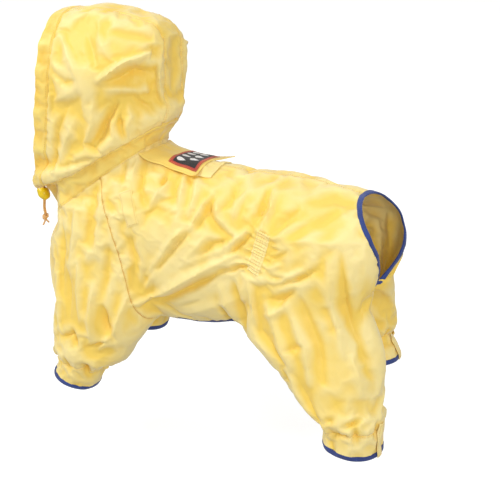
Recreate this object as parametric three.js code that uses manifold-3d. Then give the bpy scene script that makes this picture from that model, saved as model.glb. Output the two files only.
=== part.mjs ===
// A four-legged raincoat for a small dog, open and hollow in the shape it has when worn.
// Millimetres. The wearer faces -X, its left side is at -Y, and +Z is up. The origin lies on the
// cloth's inner face at the middle of the back, where the wearer's back holds the coat up.
//
// The worn form is a smooth union of limbs, each a row of rounded sections. Its surface is meshed
// once, cut along the seams, and each panel is then given the thickness of its cloth.

import * as THREE from 'three';
import { mergeVertices } from 'three/addons/utils/BufferGeometryUtils.js';
import manifoldModule from 'manifold-3d';

const kernel = await manifoldModule();
kernel.setup();
const { Manifold, Mesh } = kernel;

// Cloth and edges
const WALL = 1.6; // coat cloth with its coating and seam allowance
const BAND_WALL = 2.6; // folded cloth: neck band and hood casing
const TAPE_WALL = 2.8; // blue tape folded round the raw edge
const TAPE_WIDTH = 8;
const SEAM_PULL = 0.24; // each panel edge draws back this far from its seam

// Mesh of the worn form
const CELL = 16.8;
const BLEND = 26; // how softly two limbs run into each other
const ROUNDS = 10; // passes that even out the mesh
const SNAP = 0.28; // share of a cell within which a point moves onto a seam

// Worn form. Every limb has sections along one direction: 'at' is the place along it, 'mid' and
// 'reach' the centre and half size across it in the side view, 'side' and 'wide' the centre and
// half size along Y. 'square' is 2 for an ellipse and more for a boxier section.
const TORSO = {
  along: [1, 0], across: [0, 1], square: 2.5,
  rows: [
    { at: -293, mid: -142, reach: 22, side: 0, wide: 26 },
    { at: -284, mid: -143, reach: 42, side: 0, wide: 46 },
    { at: -264, mid: -142, reach: 58, side: 0, wide: 62 },
    { at: -230, mid: -133, reach: 76, side: 0, wide: 74 },
    { at: -180, mid: -106, reach: 102, side: 0, wide: 80 },
    { at: -130, mid: -98, reach: 110, side: 0, wide: 80 },
    { at: -80, mid: -102, reach: 108, side: 0, wide: 79 },
    { at: -30, mid: -102, reach: 105, side: 0, wide: 78 },
    { at: 0, mid: -99, reach: 100.6, side: 0, wide: 77 },
    { at: 40, mid: -98, reach: 100.5, side: 0, wide: 77 },
    { at: 75, mid: -96, reach: 99, side: 0, wide: 77 },
    { at: 110, mid: -92, reach: 91, side: 0, wide: 76 },
    { at: 145, mid: -87, reach: 80, side: 0, wide: 75 },
    { at: 166, mid: -84, reach: 71, side: 0, wide: 73 },
    { at: 183, mid: -84, reach: 58, side: 0, wide: 67 },
    { at: 192, mid: -84, reach: 44, side: 0, wide: 54 },
  ],
};
const NECK = {
  along: [-0.6, 0.8], across: [0.8, 0.6], square: 2.1,
  rows: [
    { at: 26, mid: -192, reach: 88, side: 0, wide: 70 },
    { at: 112, mid: -191, reach: 90, side: 0, wide: 64 },
    { at: 140, mid: -191, reach: 88, side: 0, wide: 68 },
  ],
};
const HOOD = {
  along: [1, 0], across: [0, 1], square: 2.5,
  rows: [
    { at: -345, mid: 60, reach: 108, side: 0, wide: 58 },
    { at: -300, mid: 62, reach: 122, side: 0, wide: 66 },
    { at: -255, mid: 68, reach: 126, side: 0, wide: 72 },
    { at: -205, mid: 78, reach: 122, side: 0, wide: 76 },
    { at: -160, mid: 96, reach: 99, side: 0, wide: 75 },
    { at: -130, mid: 112, reach: 78, side: 0, wide: 66 },
    { at: -112, mid: 120, reach: 62, side: 0, wide: 52 },
    { at: -102, mid: 120, reach: 46, side: 0, wide: 36 },
  ],
};
// Legs run down, so 'at' is the depth below the origin and 'mid' the place along X. A leg's hem and
// gather are lines across it: the depth at its middle and the slope towards the rear.
const LEG = { along: [0, -1], across: [1, 0], square: 2.1 };
const LEG_CENTRE = 61; // a leg's middle at its gather, to the side of the coat's middle
const LEGS = [
  {
    name: 'front_left', front: true, side: -1,
    hem: { depth: 310, slope: 0.4 }, gather: { depth: 281, slope: 0.1 },
    rows: [
      { at: 62, mid: -200, reach: 52, side: -42, wide: 34 },
      { at: 142, mid: -191, reach: 73, side: -56, wide: 40 },
      { at: 197, mid: -190, reach: 74, side: -60, wide: 42 },
      { at: 218, mid: -196, reach: 71, side: -61, wide: 42 },
      { at: 242, mid: -205, reach: 62, side: -61, wide: 42 },
      { at: 266, mid: -213, reach: 54, side: -61, wide: 42 },
      { at: 283, mid: -224, reach: 38, side: -61, wide: 35 },
      { at: 312, mid: -243, reach: 36, side: -60, wide: 34 },
      { at: 352, mid: -262, reach: 36, side: -60, wide: 34 },
    ],
  },
  {
    name: 'front_right', front: true, side: 1,
    hem: { depth: 262, slope: 0.25 }, gather: { depth: 236, slope: 0.1 },
    rows: [
      { at: 62, mid: -198, reach: 52, side: 42, wide: 34 },
      { at: 132, mid: -192, reach: 70, side: 56, wide: 40 },
      { at: 180, mid: -193, reach: 65, side: 60, wide: 42 },
      { at: 208, mid: -197, reach: 55, side: 61, wide: 42 },
      { at: 226, mid: -198, reach: 48, side: 61, wide: 41 },
      { at: 238, mid: -200, reach: 37, side: 61, wide: 35 },
      { at: 264, mid: -203, reach: 36, side: 60, wide: 34 },
      { at: 312, mid: -210, reach: 36, side: 60, wide: 34 },
    ],
  },
  {
    name: 'hind_left', front: false, side: -1,
    hem: { depth: 318, slope: 0.05 }, gather: { depth: 288, slope: -0.05 },
    rows: [
      { at: 52, mid: 102, reach: 68, side: -38, wide: 42 },
      { at: 92, mid: 103, reach: 80, side: -42, wide: 45 },
      { at: 142, mid: 103, reach: 86, side: -47, wide: 46 },
      { at: 187, mid: 108, reach: 84, side: -51, wide: 46 },
      { at: 210, mid: 123, reach: 73, side: -53, wide: 46 },
      { at: 232, mid: 138, reach: 63, side: -56, wide: 45 },
      { at: 254, mid: 151, reach: 54, side: -58, wide: 44 },
      { at: 274, mid: 165, reach: 45, side: -60, wide: 43 },
      { at: 290, mid: 172, reach: 37, side: -61, wide: 37 },
      { at: 318, mid: 174, reach: 36, side: -61, wide: 36 },
      { at: 372, mid: 175, reach: 36, side: -61, wide: 36 },
    ],
  },
  {
    name: 'hind_right', front: false, side: 1,
    hem: { depth: 247, slope: 0.05 }, gather: { depth: 216, slope: 0 },
    rows: [
      { at: 52, mid: 102, reach: 68, side: 38, wide: 42 },
      { at: 86, mid: 107, reach: 77, side: 42, wide: 45 },
      { at: 132, mid: 115, reach: 73, side: 48, wide: 46 },
      { at: 165, mid: 122, reach: 61, side: 55, wide: 45 },
      { at: 190, mid: 130, reach: 54, side: 58, wide: 44 },
      { at: 204, mid: 136, reach: 48, side: 60, wide: 42 },
      { at: 217, mid: 141, reach: 36, side: 61, wide: 37 },
      { at: 247, mid: 151, reach: 37, side: 61, wide: 36 },
      { at: 300, mid: 160, reach: 37, side: 61, wide: 36 },
    ],
  },
];

// Gathers where each leg runs into its cuff
const PLEATS = { count: 9, depth: 3.4, above: 20, below: 9, edges: 13 };

// Seams, edges and openings
const NECK_SEAM = { at: 99.5, band: 21, lean: 0.064, middle: -186 };
const HANG = { height: 13, reach: 15, rise: 5 }; // the hood bags over the neck band
const FACE = { x: -284, lean: 0.13, bulge: -8, middle: 60, height: 120, casing: 21 };
const HOOD_STRIP = 21; // half width of the strip over the crown
const TAIL = {
  x: 120, z: -50, lean: 0.5, from: 183, up: 54, down: 82, wide: 55, round: 2.1, taper: 1.4, low: -165,
};
const BELLY = {
  x: -8, half: 100, wide: 50, square: 3, z: -142, low: -275, far: 66, front: -125, rear: 118,
};
const LEG_REGION = { front: -110, rear: 84, above: 34 }; // where a leg's hem and gather can lie
const RAGLAN = [ // side view of the seam between sleeve and body, bottom to top
  { z: -217, x: -100 }, { z: -196, x: -118 }, { z: -177, x: -128 }, { z: -129, x: -141 },
  { z: -77, x: -159 }, { z: -20, x: -183 }, { z: 48, x: -196 },
];
const CHEST = [ // half width of the panel between the sleeves, bottom to top
  { z: -190, wide: 14 }, { z: -130, wide: 38 }, { z: -60, wide: 44 },
];

// Largest folds, seen from the side: a straight line from (x, z) to (x, z), how far it reaches to
// each side, and how much it stands out or, if negative, sinks in. Side is -1 left or 1 right.
const FOLDS = [
  { x1: -126, z1: -171, x2: 22, z2: -80, reach: 17, rise: 6, side: -1 },
  { x1: -84, z1: -168, x2: 14, z2: -108, reach: 17, rise: -6, side: -1 },
  { x1: -66, z1: -182, x2: 34, z2: -136, reach: 18, rise: 4, side: -1 },
  { x1: -102, z1: -126, x2: -30, z2: -30, reach: 18, rise: -6, side: -1 },
  { x1: -124, z1: -110, x2: -76, z2: -26, reach: 18, rise: 4, side: -1 },
  { x1: 14, z1: -60, x2: -34, z2: -92, reach: 15, rise: -4, side: -1 },
  { x1: 30, z1: -16, x2: 12, z2: -58, reach: 16, rise: 4, side: -1 },
  { x1: 76, z1: -38, x2: 112, z2: -6, reach: 17, rise: -4, side: -1 },
  { x1: 84, z1: -106, x2: 132, z2: -84, reach: 17, rise: -4, side: -1 },
  { x1: 62, z1: -124, x2: 122, z2: -246, reach: 20, rise: 6, side: -1 },
  { x1: 96, z1: -134, x2: 150, z2: -258, reach: 18, rise: -5, side: -1 },
  { x1: 130, z1: -116, x2: 184, z2: -250, reach: 20, rise: 5, side: -1 },
  { x1: 24, z1: -140, x2: 72, z2: -222, reach: 20, rise: -5, side: -1 },
  { x1: -240, z1: -112, x2: -236, z2: -262, reach: 20, rise: 5, side: -1 },
  { x1: -208, z1: -128, x2: -210, z2: -268, reach: 18, rise: -6, side: -1 },
  { x1: -172, z1: -122, x2: -182, z2: -262, reach: 20, rise: 5, side: -1 },
  { x1: -120, z1: -166, x2: 16, z2: -84, reach: 18, rise: 6, side: 1 },
  { x1: -76, z1: -164, x2: 18, z2: -112, reach: 18, rise: -5, side: 1 },
  { x1: -98, z1: -118, x2: -36, z2: -34, reach: 18, rise: -5, side: 1 },
  { x1: 18, z1: -62, x2: -26, z2: -92, reach: 17, rise: -4, side: 1 },
  { x1: 66, z1: -112, x2: 110, z2: -196, reach: 20, rise: 5, side: 1 },
  { x1: 98, z1: -118, x2: 136, z2: -200, reach: 18, rise: -5, side: 1 },
  { x1: 130, z1: -104, x2: 162, z2: -196, reach: 20, rise: 4, side: 1 },
  { x1: -234, z1: -104, x2: -224, z2: -218, reach: 20, rise: 5, side: 1 },
  { x1: -202, z1: -112, x2: -198, z2: -222, reach: 18, rise: -5, side: 1 },
  { x1: -166, z1: -112, x2: -168, z2: -214, reach: 20, rise: 4, side: 1 },
  { x1: -190, z1: 100, x2: -114, z2: 136, reach: 19, rise: 5, side: -1 },
  { x1: -176, z1: 84, x2: -110, z2: 106, reach: 19, rise: -7, side: -1 },
  { x1: -154, z1: 36, x2: -138, z2: 80, reach: 18, rise: 6, side: -1 },
  { x1: -200, z1: 22, x2: -162, z2: 82, reach: 19, rise: -6, side: -1 },
  { x1: -226, z1: -2, x2: -192, z2: 78, reach: 20, rise: 5, side: -1 },
  { x1: -252, z1: -22, x2: -228, z2: 96, reach: 18, rise: -4, side: -1 },
  { x1: -184, z1: 104, x2: -118, z2: 130, reach: 20, rise: 5, side: 1 },
  { x1: -180, z1: 78, x2: -114, z2: 102, reach: 19, rise: -6, side: 1 },
  { x1: -160, z1: 34, x2: -140, z2: 74, reach: 19, rise: 5, side: 1 },
  { x1: -206, z1: 16, x2: -168, z2: 78, reach: 19, rise: -6, side: 1 },
  { x1: -234, z1: -6, x2: -198, z2: 70, reach: 20, rise: 5, side: 1 },
];

// Sewn-on pieces. A piece on the side is centred at (x, z) and turned in the side view.
const FLAP = { clear: 5, rear: -57, half: 40, lift: 2.6, stand: 2.5, wall: 1.8 };
const UNDERLAY = { front: -104, rear: -39, half: 33, lift: 0.8, wall: 1.2 };
const LABEL = { front: -100, rear: -60, half: 33, lift: 0.4, wall: 0.9 };
const SHOULDER_TAB = { x: -135, z: -46, long: 45, wide: 19, turn: 24, lift: 0.8, wall: 1.2 };
const WAIST = {
  x: 49, z: -76, long: 52, wide: 19, turn: -13, pleats: 10, rise: 1.5, lift: 0.8, wall: 1.4,
};
const OVER = 60; // above everything
const BESIDE = 160; // outside everything, to either side
const BEHIND = 280; // behind everything
const PLACKET = { offset: 6, wide: 11, above: 14, below: 9, lift: 1, wall: 1.4 };

// Cord lock under the chin, its axis tilted in the side view, and the cord through it
const LOCK = { x: -318, y: -8, z: -69, radius: 8.6, long: 19, tilt: 40, channel: 3, button: 4.4 };
const CORD = { radius: 1.2, apart: 1.4, top: -52, knot: -103, end: -115, spread: 3 };
const KNOT = { inner: 2.9, outer: 4.9 };

const COAT_YELLOW = 0xf7d76b;
const BAND_YELLOW = 0xf6cf5a;
const TAPE_BLUE = 0x24449c;
const TOGGLE_YELLOW = 0xf2d21c;
const CORD_PEACH = 0xf2bc72;
const LABEL_RED = 0xc8402e;
const CLOTH_GLOSS = 0.55; // roughness of each material
const LOCK_GLOSS = 0.3;
const CORD_GLOSS = 0.8;

const clamp = (value, low, high) => Math.min(Math.max(value, low), high);
const vector = (x, y, z) => new THREE.Vector3(x, y, z);

function materialOf(colour, roughness = CLOTH_GLOSS) {
  return new THREE.MeshStandardMaterial({ color: colour, roughness, metalness: 0 });
}

// A smooth value from a table's column at a place along it
function readRows(rows, key, column, place) {
  const last = rows.length - 1;
  if (place <= rows[0][key]) return rows[0][column];
  if (place >= rows[last][key]) return rows[last][column];
  let i = 0;
  while (rows[i + 1][key] < place) i += 1;
  const [a, b] = [rows[i], rows[i + 1]];
  const span = b[key] - a[key];
  const t = (place - a[key]) / span;
  const before = rows[Math.max(i - 1, 0)];
  const after = rows[Math.min(i + 2, last)];
  const slope = (from, to) => (to[column] - from[column]) / (to[key] - from[key]);
  const slopeA = slope(before, b);
  const slopeB = slope(a, after);
  const [t2, t3] = [t * t, t * t * t];
  return (2 * t3 - 3 * t2 + 1) * a[column] + (t3 - 2 * t2 + t) * span * slopeA
    + (3 * t2 - 2 * t3) * b[column] + (t3 - t2) * span * slopeB;
}

// How far a point stands outside one limb
function outsideLimb(limb, rows, p) {
  const at = p.x * limb.along[0] + p.z * limb.along[1];
  const first = rows[0].at;
  const last = rows[rows.length - 1].at;
  const place = clamp(at, first, last);
  const over = p.x * limb.across[0] + p.z * limb.across[1] - readRows(rows, 'at', 'mid', place);
  const sideways = p.y - readRows(rows, 'at', 'side', place);
  const reach = readRows(rows, 'at', 'reach', place);
  const wide = readRows(rows, 'at', 'wide', place);
  const length = Math.hypot(over, sideways);
  const share = ((Math.abs(over) / reach) ** limb.square + (Math.abs(sideways) / wide) ** limb.square)
    ** (1 / limb.square);
  const radial = share < 1e-6 ? -Math.min(reach, wide) : length - length / share;
  const past = Math.max(first - at, at - last);
  return past > 0 ? Math.hypot(Math.max(radial, 0), past) : Math.max(radial, past);
}

function blended(a, b) {
  const h = Math.max(BLEND - Math.abs(a - b), 0) / BLEND;
  return Math.min(a, b) - h * h * BLEND / 4;
}

function outside(p) {
  let value = outsideLimb(TORSO, TORSO.rows, p);
  value = blended(value, outsideLimb(NECK, NECK.rows, p));
  for (const leg of LEGS) {
    value = blended(value, outsideLimb(LEG, leg.rows, p));
  }
  return blended(value, outsideLimb(HOOD, HOOD.rows, p));
}

function gradient(field, p, step = 0.5) {
  const q = p.clone();
  const slope = vector(0, 0, 0);
  for (const axis of ['x', 'y', 'z']) {
    q[axis] = p[axis] + step;
    const high = field(q);
    q[axis] = p[axis] - step;
    slope[axis] = (high - field(q)) / (2 * step);
    q[axis] = p[axis];
  }
  return slope;
}

function ontoForm(p) {
  for (let pass = 0; pass < 3; pass += 1) {
    const slope = gradient(outside, p);
    p.addScaledVector(slope, -outside(p) / Math.max(slope.lengthSq(), 0.05));
  }
  return p;
}

const outwards = (p) => gradient(outside, p, 4).normalize();

// How far a cuff's gathers draw the cloth in or let it stand out
function pleatAt(p) {
  const leg = legOf(p);
  if (!leg) return 0;
  const height = depthBelow(leg.gather, leg, p);
  const share = height / (height > 0 ? PLEATS.above : PLEATS.below);
  const centre = readRows(leg.rows, 'at', 'mid', leg.gather.depth);
  const turn = Math.atan2(p.y - leg.side * LEG_CENTRE, p.x - centre);
  return PLEATS.depth * (Math.cos(PLEATS.count * turn) - 0.35) * Math.exp(-share * share * 1.6);
}

function foldAt(p, normal) {
  const hang = clamp((aboveBand(p) - HANG.height) / HANG.reach, -1, 1);
  let rise = pleatAt(p) + (faceEdge(p) > 0 ? HANG.rise * (1 - hang * hang) ** 2 : 0);
  const facing = clamp((Math.abs(normal.y) - 0.15) / 0.45, 0, 1);
  for (const fold of FOLDS) {
    if (Math.sign(p.y) !== fold.side) continue;
    const [dx, dz] = [fold.x2 - fold.x1, fold.z2 - fold.z1];
    const along = ((p.x - fold.x1) * dx + (p.z - fold.z1) * dz) / (dx * dx + dz * dz);
    const t = clamp(along, 0, 1);
    const away = Math.hypot(p.x - fold.x1 - dx * t, p.z - fold.z1 - dz * t) / fold.reach;
    if (away >= 1) continue;
    const ends = Math.sin(Math.PI * clamp(0.12 + 0.76 * t, 0, 1));
    rise += fold.rise * (1 - away * away) ** 2 * ends * facing;
  }
  return rise;
}

// Meshes where a field is zero, one point for each grid cell that the surface crosses
function meshForm(low, high) {
  const count = ['x', 'y', 'z'].map((axis) => Math.ceil((high[axis] - low[axis]) / CELL) + 1);
  const corner = (i, j, k) => vector(low.x + i * CELL, low.y + j * CELL, low.z + k * CELL);
  const index = (i, j, k) => (i * count[1] + j) * count[2] + k;
  const values = new Float64Array(count[0] * count[1] * count[2]);
  for (let i = 0; i < count[0]; i += 1) {
    for (let j = 0; j < count[1]; j += 1) {
      for (let k = 0; k < count[2]; k += 1) values[index(i, j, k)] = outside(corner(i, j, k));
    }
  }
  const points = [];
  const cellPoint = new Map();
  const corners = [0, 1, 2, 3, 4, 5, 6, 7].map((bits) => [bits & 1, (bits >> 1) & 1, bits >> 2]);
  const edges = [];
  corners.forEach((a, i) => corners.forEach((b, j) => {
    if (i < j && Math.abs(a[0] - b[0]) + Math.abs(a[1] - b[1]) + Math.abs(a[2] - b[2]) === 1) {
      edges.push([a, b]);
    }
  }));
  for (let i = 0; i + 1 < count[0]; i += 1) {
    for (let j = 0; j + 1 < count[1]; j += 1) {
      for (let k = 0; k + 1 < count[2]; k += 1) {
        const sum = vector(0, 0, 0);
        let crossings = 0;
        for (const [a, b] of edges) {
          const va = values[index(i + a[0], j + a[1], k + a[2])];
          const vb = values[index(i + b[0], j + b[1], k + b[2])];
          if ((va < 0) === (vb < 0)) continue;
          const pa = corner(i + a[0], j + a[1], k + a[2]);
          sum.add(pa.lerp(corner(i + b[0], j + b[1], k + b[2]), va / (va - vb)));
          crossings += 1;
        }
        if (crossings === 0) continue;
        cellPoint.set(index(i, j, k), points.length);
        points.push(ontoForm(sum.divideScalar(crossings)));
      }
    }
  }
  const triangles = [];
  const addQuad = (a, b, c, d, flipped) => {
    const quad = flipped ? [d, c, b, a] : [a, b, c, d];
    const ids = quad.map((cell) => cellPoint.get(cell));
    const [p, q, r, s] = ids.map((id) => points[id]);
    if (p.distanceToSquared(r) < q.distanceToSquared(s)) {
      triangles.push([ids[0], ids[1], ids[2]], [ids[0], ids[2], ids[3]]);
    } else {
      triangles.push([ids[1], ids[2], ids[3]], [ids[1], ids[3], ids[0]]);
    }
  };
  for (let i = 1; i + 1 < count[0]; i += 1) {
    for (let j = 1; j + 1 < count[1]; j += 1) {
      for (let k = 1; k + 1 < count[2]; k += 1) {
        const here = values[index(i, j, k)] < 0;
        if (here !== values[index(i + 1, j, k)] < 0) {
          addQuad(index(i, j - 1, k - 1), index(i, j, k - 1), index(i, j, k), index(i, j - 1, k), !here);
        }
        if (here !== values[index(i, j + 1, k)] < 0) {
          addQuad(index(i - 1, j, k - 1), index(i - 1, j, k), index(i, j, k), index(i, j, k - 1), !here);
        }
        if (here !== values[index(i, j, k + 1)] < 0) {
          addQuad(index(i - 1, j - 1, k), index(i, j - 1, k), index(i, j, k), index(i - 1, j, k), !here);
        }
      }
    }
  }
  return { points, triangles, locked: new Set() };
}

function neighboursOf(mesh) {
  const near = mesh.points.map(() => new Set());
  for (const [a, b, c] of mesh.triangles) {
    near[a].add(b).add(c);
    near[b].add(a).add(c);
    near[c].add(a).add(b);
  }
  return near;
}

function evenOut(mesh, passes) {
  const near = neighboursOf(mesh);
  for (let pass = 0; pass < passes; pass += 1) {
    const moved = mesh.points.map((p, i) => {
      if (mesh.locked.has(i)) return p;
      const middle = vector(0, 0, 0);
      near[i].forEach((j) => middle.add(mesh.points[j]));
      return ontoForm(middle.divideScalar(near[i].size).lerp(p, 0.4));
    });
    mesh.points = moved;
  }
}

// Adds edges to the mesh where a field is zero, only where 'within' holds
function cutAlong(mesh, field, within = () => true) {
  const values = mesh.points.map((p, i) => {
    const value = field(p);
    if (Math.abs(value) > SNAP * CELL || mesh.locked.has(i) || !within(p)) return value;
    const slope = gradient(field, p);
    p.addScaledVector(slope, -value / Math.max(slope.lengthSq(), 0.2));
    ontoForm(p);
    const left = field(p);
    p.addScaledVector(slope, -left / Math.max(slope.lengthSq(), 0.2));
    mesh.locked.add(i);
    return 0;
  });
  mesh.locked.forEach((i) => {
    if (Math.abs(values[i]) < 0.09 * CELL) values[i] = 0;
  });
  const splits = new Map();
  const splitOf = (a, b) => {
    if (values[a] * values[b] >= 0) return undefined;
    const key = a < b ? `${a},${b}` : `${b},${a}`;
    if (splits.has(key)) return splits.get(key);
    const [first, second] = a < b ? [a, b] : [b, a];
    const t = values[first] / (values[first] - values[second]);
    const p = mesh.points[first].clone().lerp(mesh.points[second], t);
    if (!within(p)) {
      splits.set(key, undefined);
      return undefined;
    }
    splits.set(key, mesh.points.length);
    mesh.locked.add(mesh.points.length);
    mesh.points.push(p);
    return splits.get(key);
  };
  const made = [];
  for (const [a, b, c] of mesh.triangles) {
    const [ab, bc, ca] = [splitOf(a, b), splitOf(b, c), splitOf(c, a)];
    const cuts = [ab, bc, ca].filter((m) => m !== undefined).length;
    if (cuts === 0) {
      made.push([a, b, c]);
    } else if (cuts === 1) {
      if (ab !== undefined) made.push([a, ab, c], [ab, b, c]);
      if (bc !== undefined) made.push([b, bc, a], [bc, c, a]);
      if (ca !== undefined) made.push([c, ca, b], [ca, a, b]);
    } else if (ab === undefined) {
      made.push([c, ca, bc], [ca, a, b], [ca, b, bc]);
    } else if (bc === undefined) {
      made.push([a, ab, ca], [ab, b, c], [ab, c, ca]);
    } else {
      made.push([b, bc, ab], [bc, c, a], [bc, a, ab]);
    }
  }
  mesh.triangles = made;
}

// Seam and edge fields: each is a distance from its line, in millimetres, above zero on the side
// where the cloth goes on
const depthBelow = (line, leg, p) => line.depth + p.z
  + line.slope * (p.x - readRows(leg.rows, 'at', 'mid', line.depth));
const onLeg = (leg, p) => Math.sign(p.y) === leg.side
  && (leg.front ? p.x < LEG_REGION.front : p.x > LEG_REGION.rear)
  && depthBelow(leg.gather, leg, p) < LEG_REGION.above;
const legOf = (p) => LEGS.find((leg) => onLeg(leg, p));
const neckHeight = (p) => p.x * NECK.along[0] + p.z * NECK.along[1] - NECK_SEAM.at;
const aboveBand = (p) => neckHeight(p) - NECK_SEAM.band
  + NECK_SEAM.lean * (p.x * NECK.across[0] + p.z * NECK.across[1] - NECK_SEAM.middle);
const onHood = (p) => aboveBand(p) > 0;
const onTail = (p) => p.x > TAIL.x && p.z > TAIL.low;
const onBelly = (p) => p.z < BELLY.z && p.z > BELLY.low && Math.abs(p.y) < BELLY.far
  && p.x > BELLY.front && p.x < BELLY.rear;
const faceEdge = (p) => {
  const up = (p.z - FACE.middle) / FACE.height;
  return p.x - FACE.x - FACE.lean * (p.z - FACE.middle) - FACE.bulge * up * up;
};
const tailShare = (p) => {
  const above = p.z - TAIL.lean * (p.x - TAIL.from) - TAIL.z;
  const up = above / (above > 0 ? TAIL.up : TAIL.down);
  const power = above > 0 ? TAIL.round : TAIL.taper;
  return (Math.abs(p.y / TAIL.wide) ** power + Math.abs(up) ** power) ** (1 / power) - 1;
};
const bellyShare = (p) => (Math.abs((p.x - BELLY.x) / BELLY.half) ** BELLY.square
  + Math.abs(p.y / BELLY.wide) ** BELLY.square) ** (1 / BELLY.square) - 1;
// Turns a field into the distance from its zero line, measured along the cloth
function alongCloth(field, p) {
  const value = field(p);
  const slope = gradient(field, p);
  const normal = outwards(p);
  slope.addScaledVector(normal, -slope.dot(normal));
  return clamp(value / Math.max(slope.length(), 0.002), -60, 60);
}
const tailEdge = (p) => alongCloth(tailShare, p);
const bellyEdge = (p) => alongCloth(bellyShare, p);
const raglanEdge = (p) => (p.x - readRows(RAGLAN, 'z', 'x', p.z)) * 0.93;
const chestEdge = (p) => Math.abs(p.y) - readRows(CHEST, 'z', 'wide', p.z);

// The panel that a place on the form belongs to, or null where the coat is open
function panelAt(p) {
  if (onHood(p)) {
    if (faceEdge(p) < 0) return null;
    if (faceEdge(p) < FACE.casing) return 'hood_casing';
    if (Math.abs(p.y) < HOOD_STRIP) return 'hood_crown_strip';
    return p.y < 0 ? 'hood_left' : 'hood_right';
  }
  if (neckHeight(p) > 0) return 'neck_band';
  const leg = legOf(p);
  if (leg) {
    const height = depthBelow(leg.hem, leg, p);
    if (height < 0) return null;
    if (height < TAPE_WIDTH) return `${leg.name}_cuff_tape`;
    if (depthBelow(leg.gather, leg, p) < 0) return `${leg.name}_cuff`;
  }
  if (onTail(p) && tailEdge(p) < TAPE_WIDTH) return tailEdge(p) < 0 ? null : 'tail_opening_tape';
  if (onBelly(p) && bellyEdge(p) < TAPE_WIDTH) return bellyEdge(p) < 0 ? null : 'belly_opening_tape';
  if (raglanEdge(p) < 0) {
    if (chestEdge(p) < 0) return 'chest';
    return p.y < 0 ? 'sleeve_left' : 'sleeve_right';
  }
  return p.y < 0 ? 'body_left' : 'body_right';
}

function cutSeams(mesh) {
  cutAlong(mesh, aboveBand);
  cutAlong(mesh, neckHeight);
  cutAlong(mesh, faceEdge, onHood);
  cutAlong(mesh, (p) => faceEdge(p) - FACE.casing, onHood);
  for (const side of [-1, 1]) {
    const behindCasing = (p) => onHood(p) && faceEdge(p) > FACE.casing - 1;
    cutAlong(mesh, (p) => p.y * side - HOOD_STRIP, behindCasing);
  }
  for (const leg of LEGS) {
    const within = (p) => onLeg(leg, p);
    cutAlong(mesh, (p) => depthBelow(leg.hem, leg, p), within);
    cutAlong(mesh, (p) => depthBelow(leg.hem, leg, p) - TAPE_WIDTH, within);
    cutAlong(mesh, (p) => depthBelow(leg.gather, leg, p), within);
    cutPleats(mesh, leg);
  }
  cutAlong(mesh, tailEdge, onTail);
  cutAlong(mesh, (p) => tailEdge(p) - TAPE_WIDTH, onTail);
  cutAlong(mesh, bellyEdge, onBelly);
  cutAlong(mesh, (p) => bellyEdge(p) - TAPE_WIDTH, onBelly);
  const mainCloth = (p) => neckHeight(p) < 0
    && !(onTail(p) && tailEdge(p) < TAPE_WIDTH - 1) && !(onBelly(p) && bellyEdge(p) < TAPE_WIDTH - 1)
    && !(legOf(p) && depthBelow(legOf(p).gather, legOf(p), p) < 0);
  cutAlong(mesh, raglanEdge, mainCloth);
  cutAlong(mesh, chestEdge, (p) => mainCloth(p) && raglanEdge(p) < 1);
  cutAlong(mesh, (p) => p.y, (p) => mainCloth(p) && raglanEdge(p) > -1);
}

// Edges on the crest and in the trough of each gather
function cutPleats(mesh, leg) {
  const centre = readRows(leg.rows, 'at', 'mid', leg.gather.depth);
  const near = (p) => onLeg(leg, p) && Math.abs(depthBelow(leg.gather, leg, p)) < PLEATS.edges;
  const sideways = (p) => p.y - leg.side * LEG_CENTRE;
  for (let i = 0; i < PLEATS.count * 2; i += 1) {
    const turn = (i * Math.PI) / PLEATS.count;
    const out = (p) => (p.x - centre) * Math.cos(turn) + sideways(p) * Math.sin(turn);
    const across = (p) => sideways(p) * Math.cos(turn) - (p.x - centre) * Math.sin(turn);
    cutAlong(mesh, across, (p) => near(p) && out(p) > 0);
  }
}

// Sorts the mesh into panels. A few triangles cut off from their panel join the one around them.
function panelsOf(mesh) {
  const names = mesh.triangles.map((triangle) => {
    const middle = vector(0, 0, 0);
    triangle.forEach((i) => middle.addScaledVector(mesh.points[i], 1 / 3));
    return panelAt(middle);
  });
  const owner = new Map();
  const key = (a, b) => a * mesh.points.length + b;
  mesh.triangles.forEach((ids, t) => ids.forEach((a, i) => owner.set(key(a, ids[(i + 1) % 3]), t)));
  const around = mesh.triangles.map((ids) => ids.map((a, i) => owner.get(key(ids[(i + 1) % 3], a))));
  const seen = new Set();
  const groups = [];
  names.forEach((name, start) => {
    if (seen.has(start)) return;
    const group = [start];
    seen.add(start);
    for (const t of group) {
      for (const next of around[t]) {
        if (next === undefined || seen.has(next) || names[next] !== name) continue;
        seen.add(next);
        group.push(next);
      }
    }
    groups.push({ name, group });
  });
  const sizes = new Map();
  groups.forEach(({ name, group }) => sizes.set(name, Math.max(sizes.get(name) ?? 0, group.length)));
  for (const { name, group } of groups) {
    if (name === null || group.length === sizes.get(name)) continue;
    const votes = new Map();
    group.flatMap((t) => around[t]).filter((t) => t !== undefined && names[t] !== name)
      .forEach((t) => votes.set(names[t], (votes.get(names[t]) ?? 0) + 1));
    const [[winner]] = [...votes].sort((one, two) => two[1] - one[1]);
    group.forEach((t) => { names[t] = winner; });
  }
  const panels = new Map();
  mesh.triangles.forEach((triangle, t) => {
    if (names[t] === null) return;
    if (!panels.has(names[t])) panels.set(names[t], []);
    panels.get(names[t]).push(triangle);
  });
  return panels;
}

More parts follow.
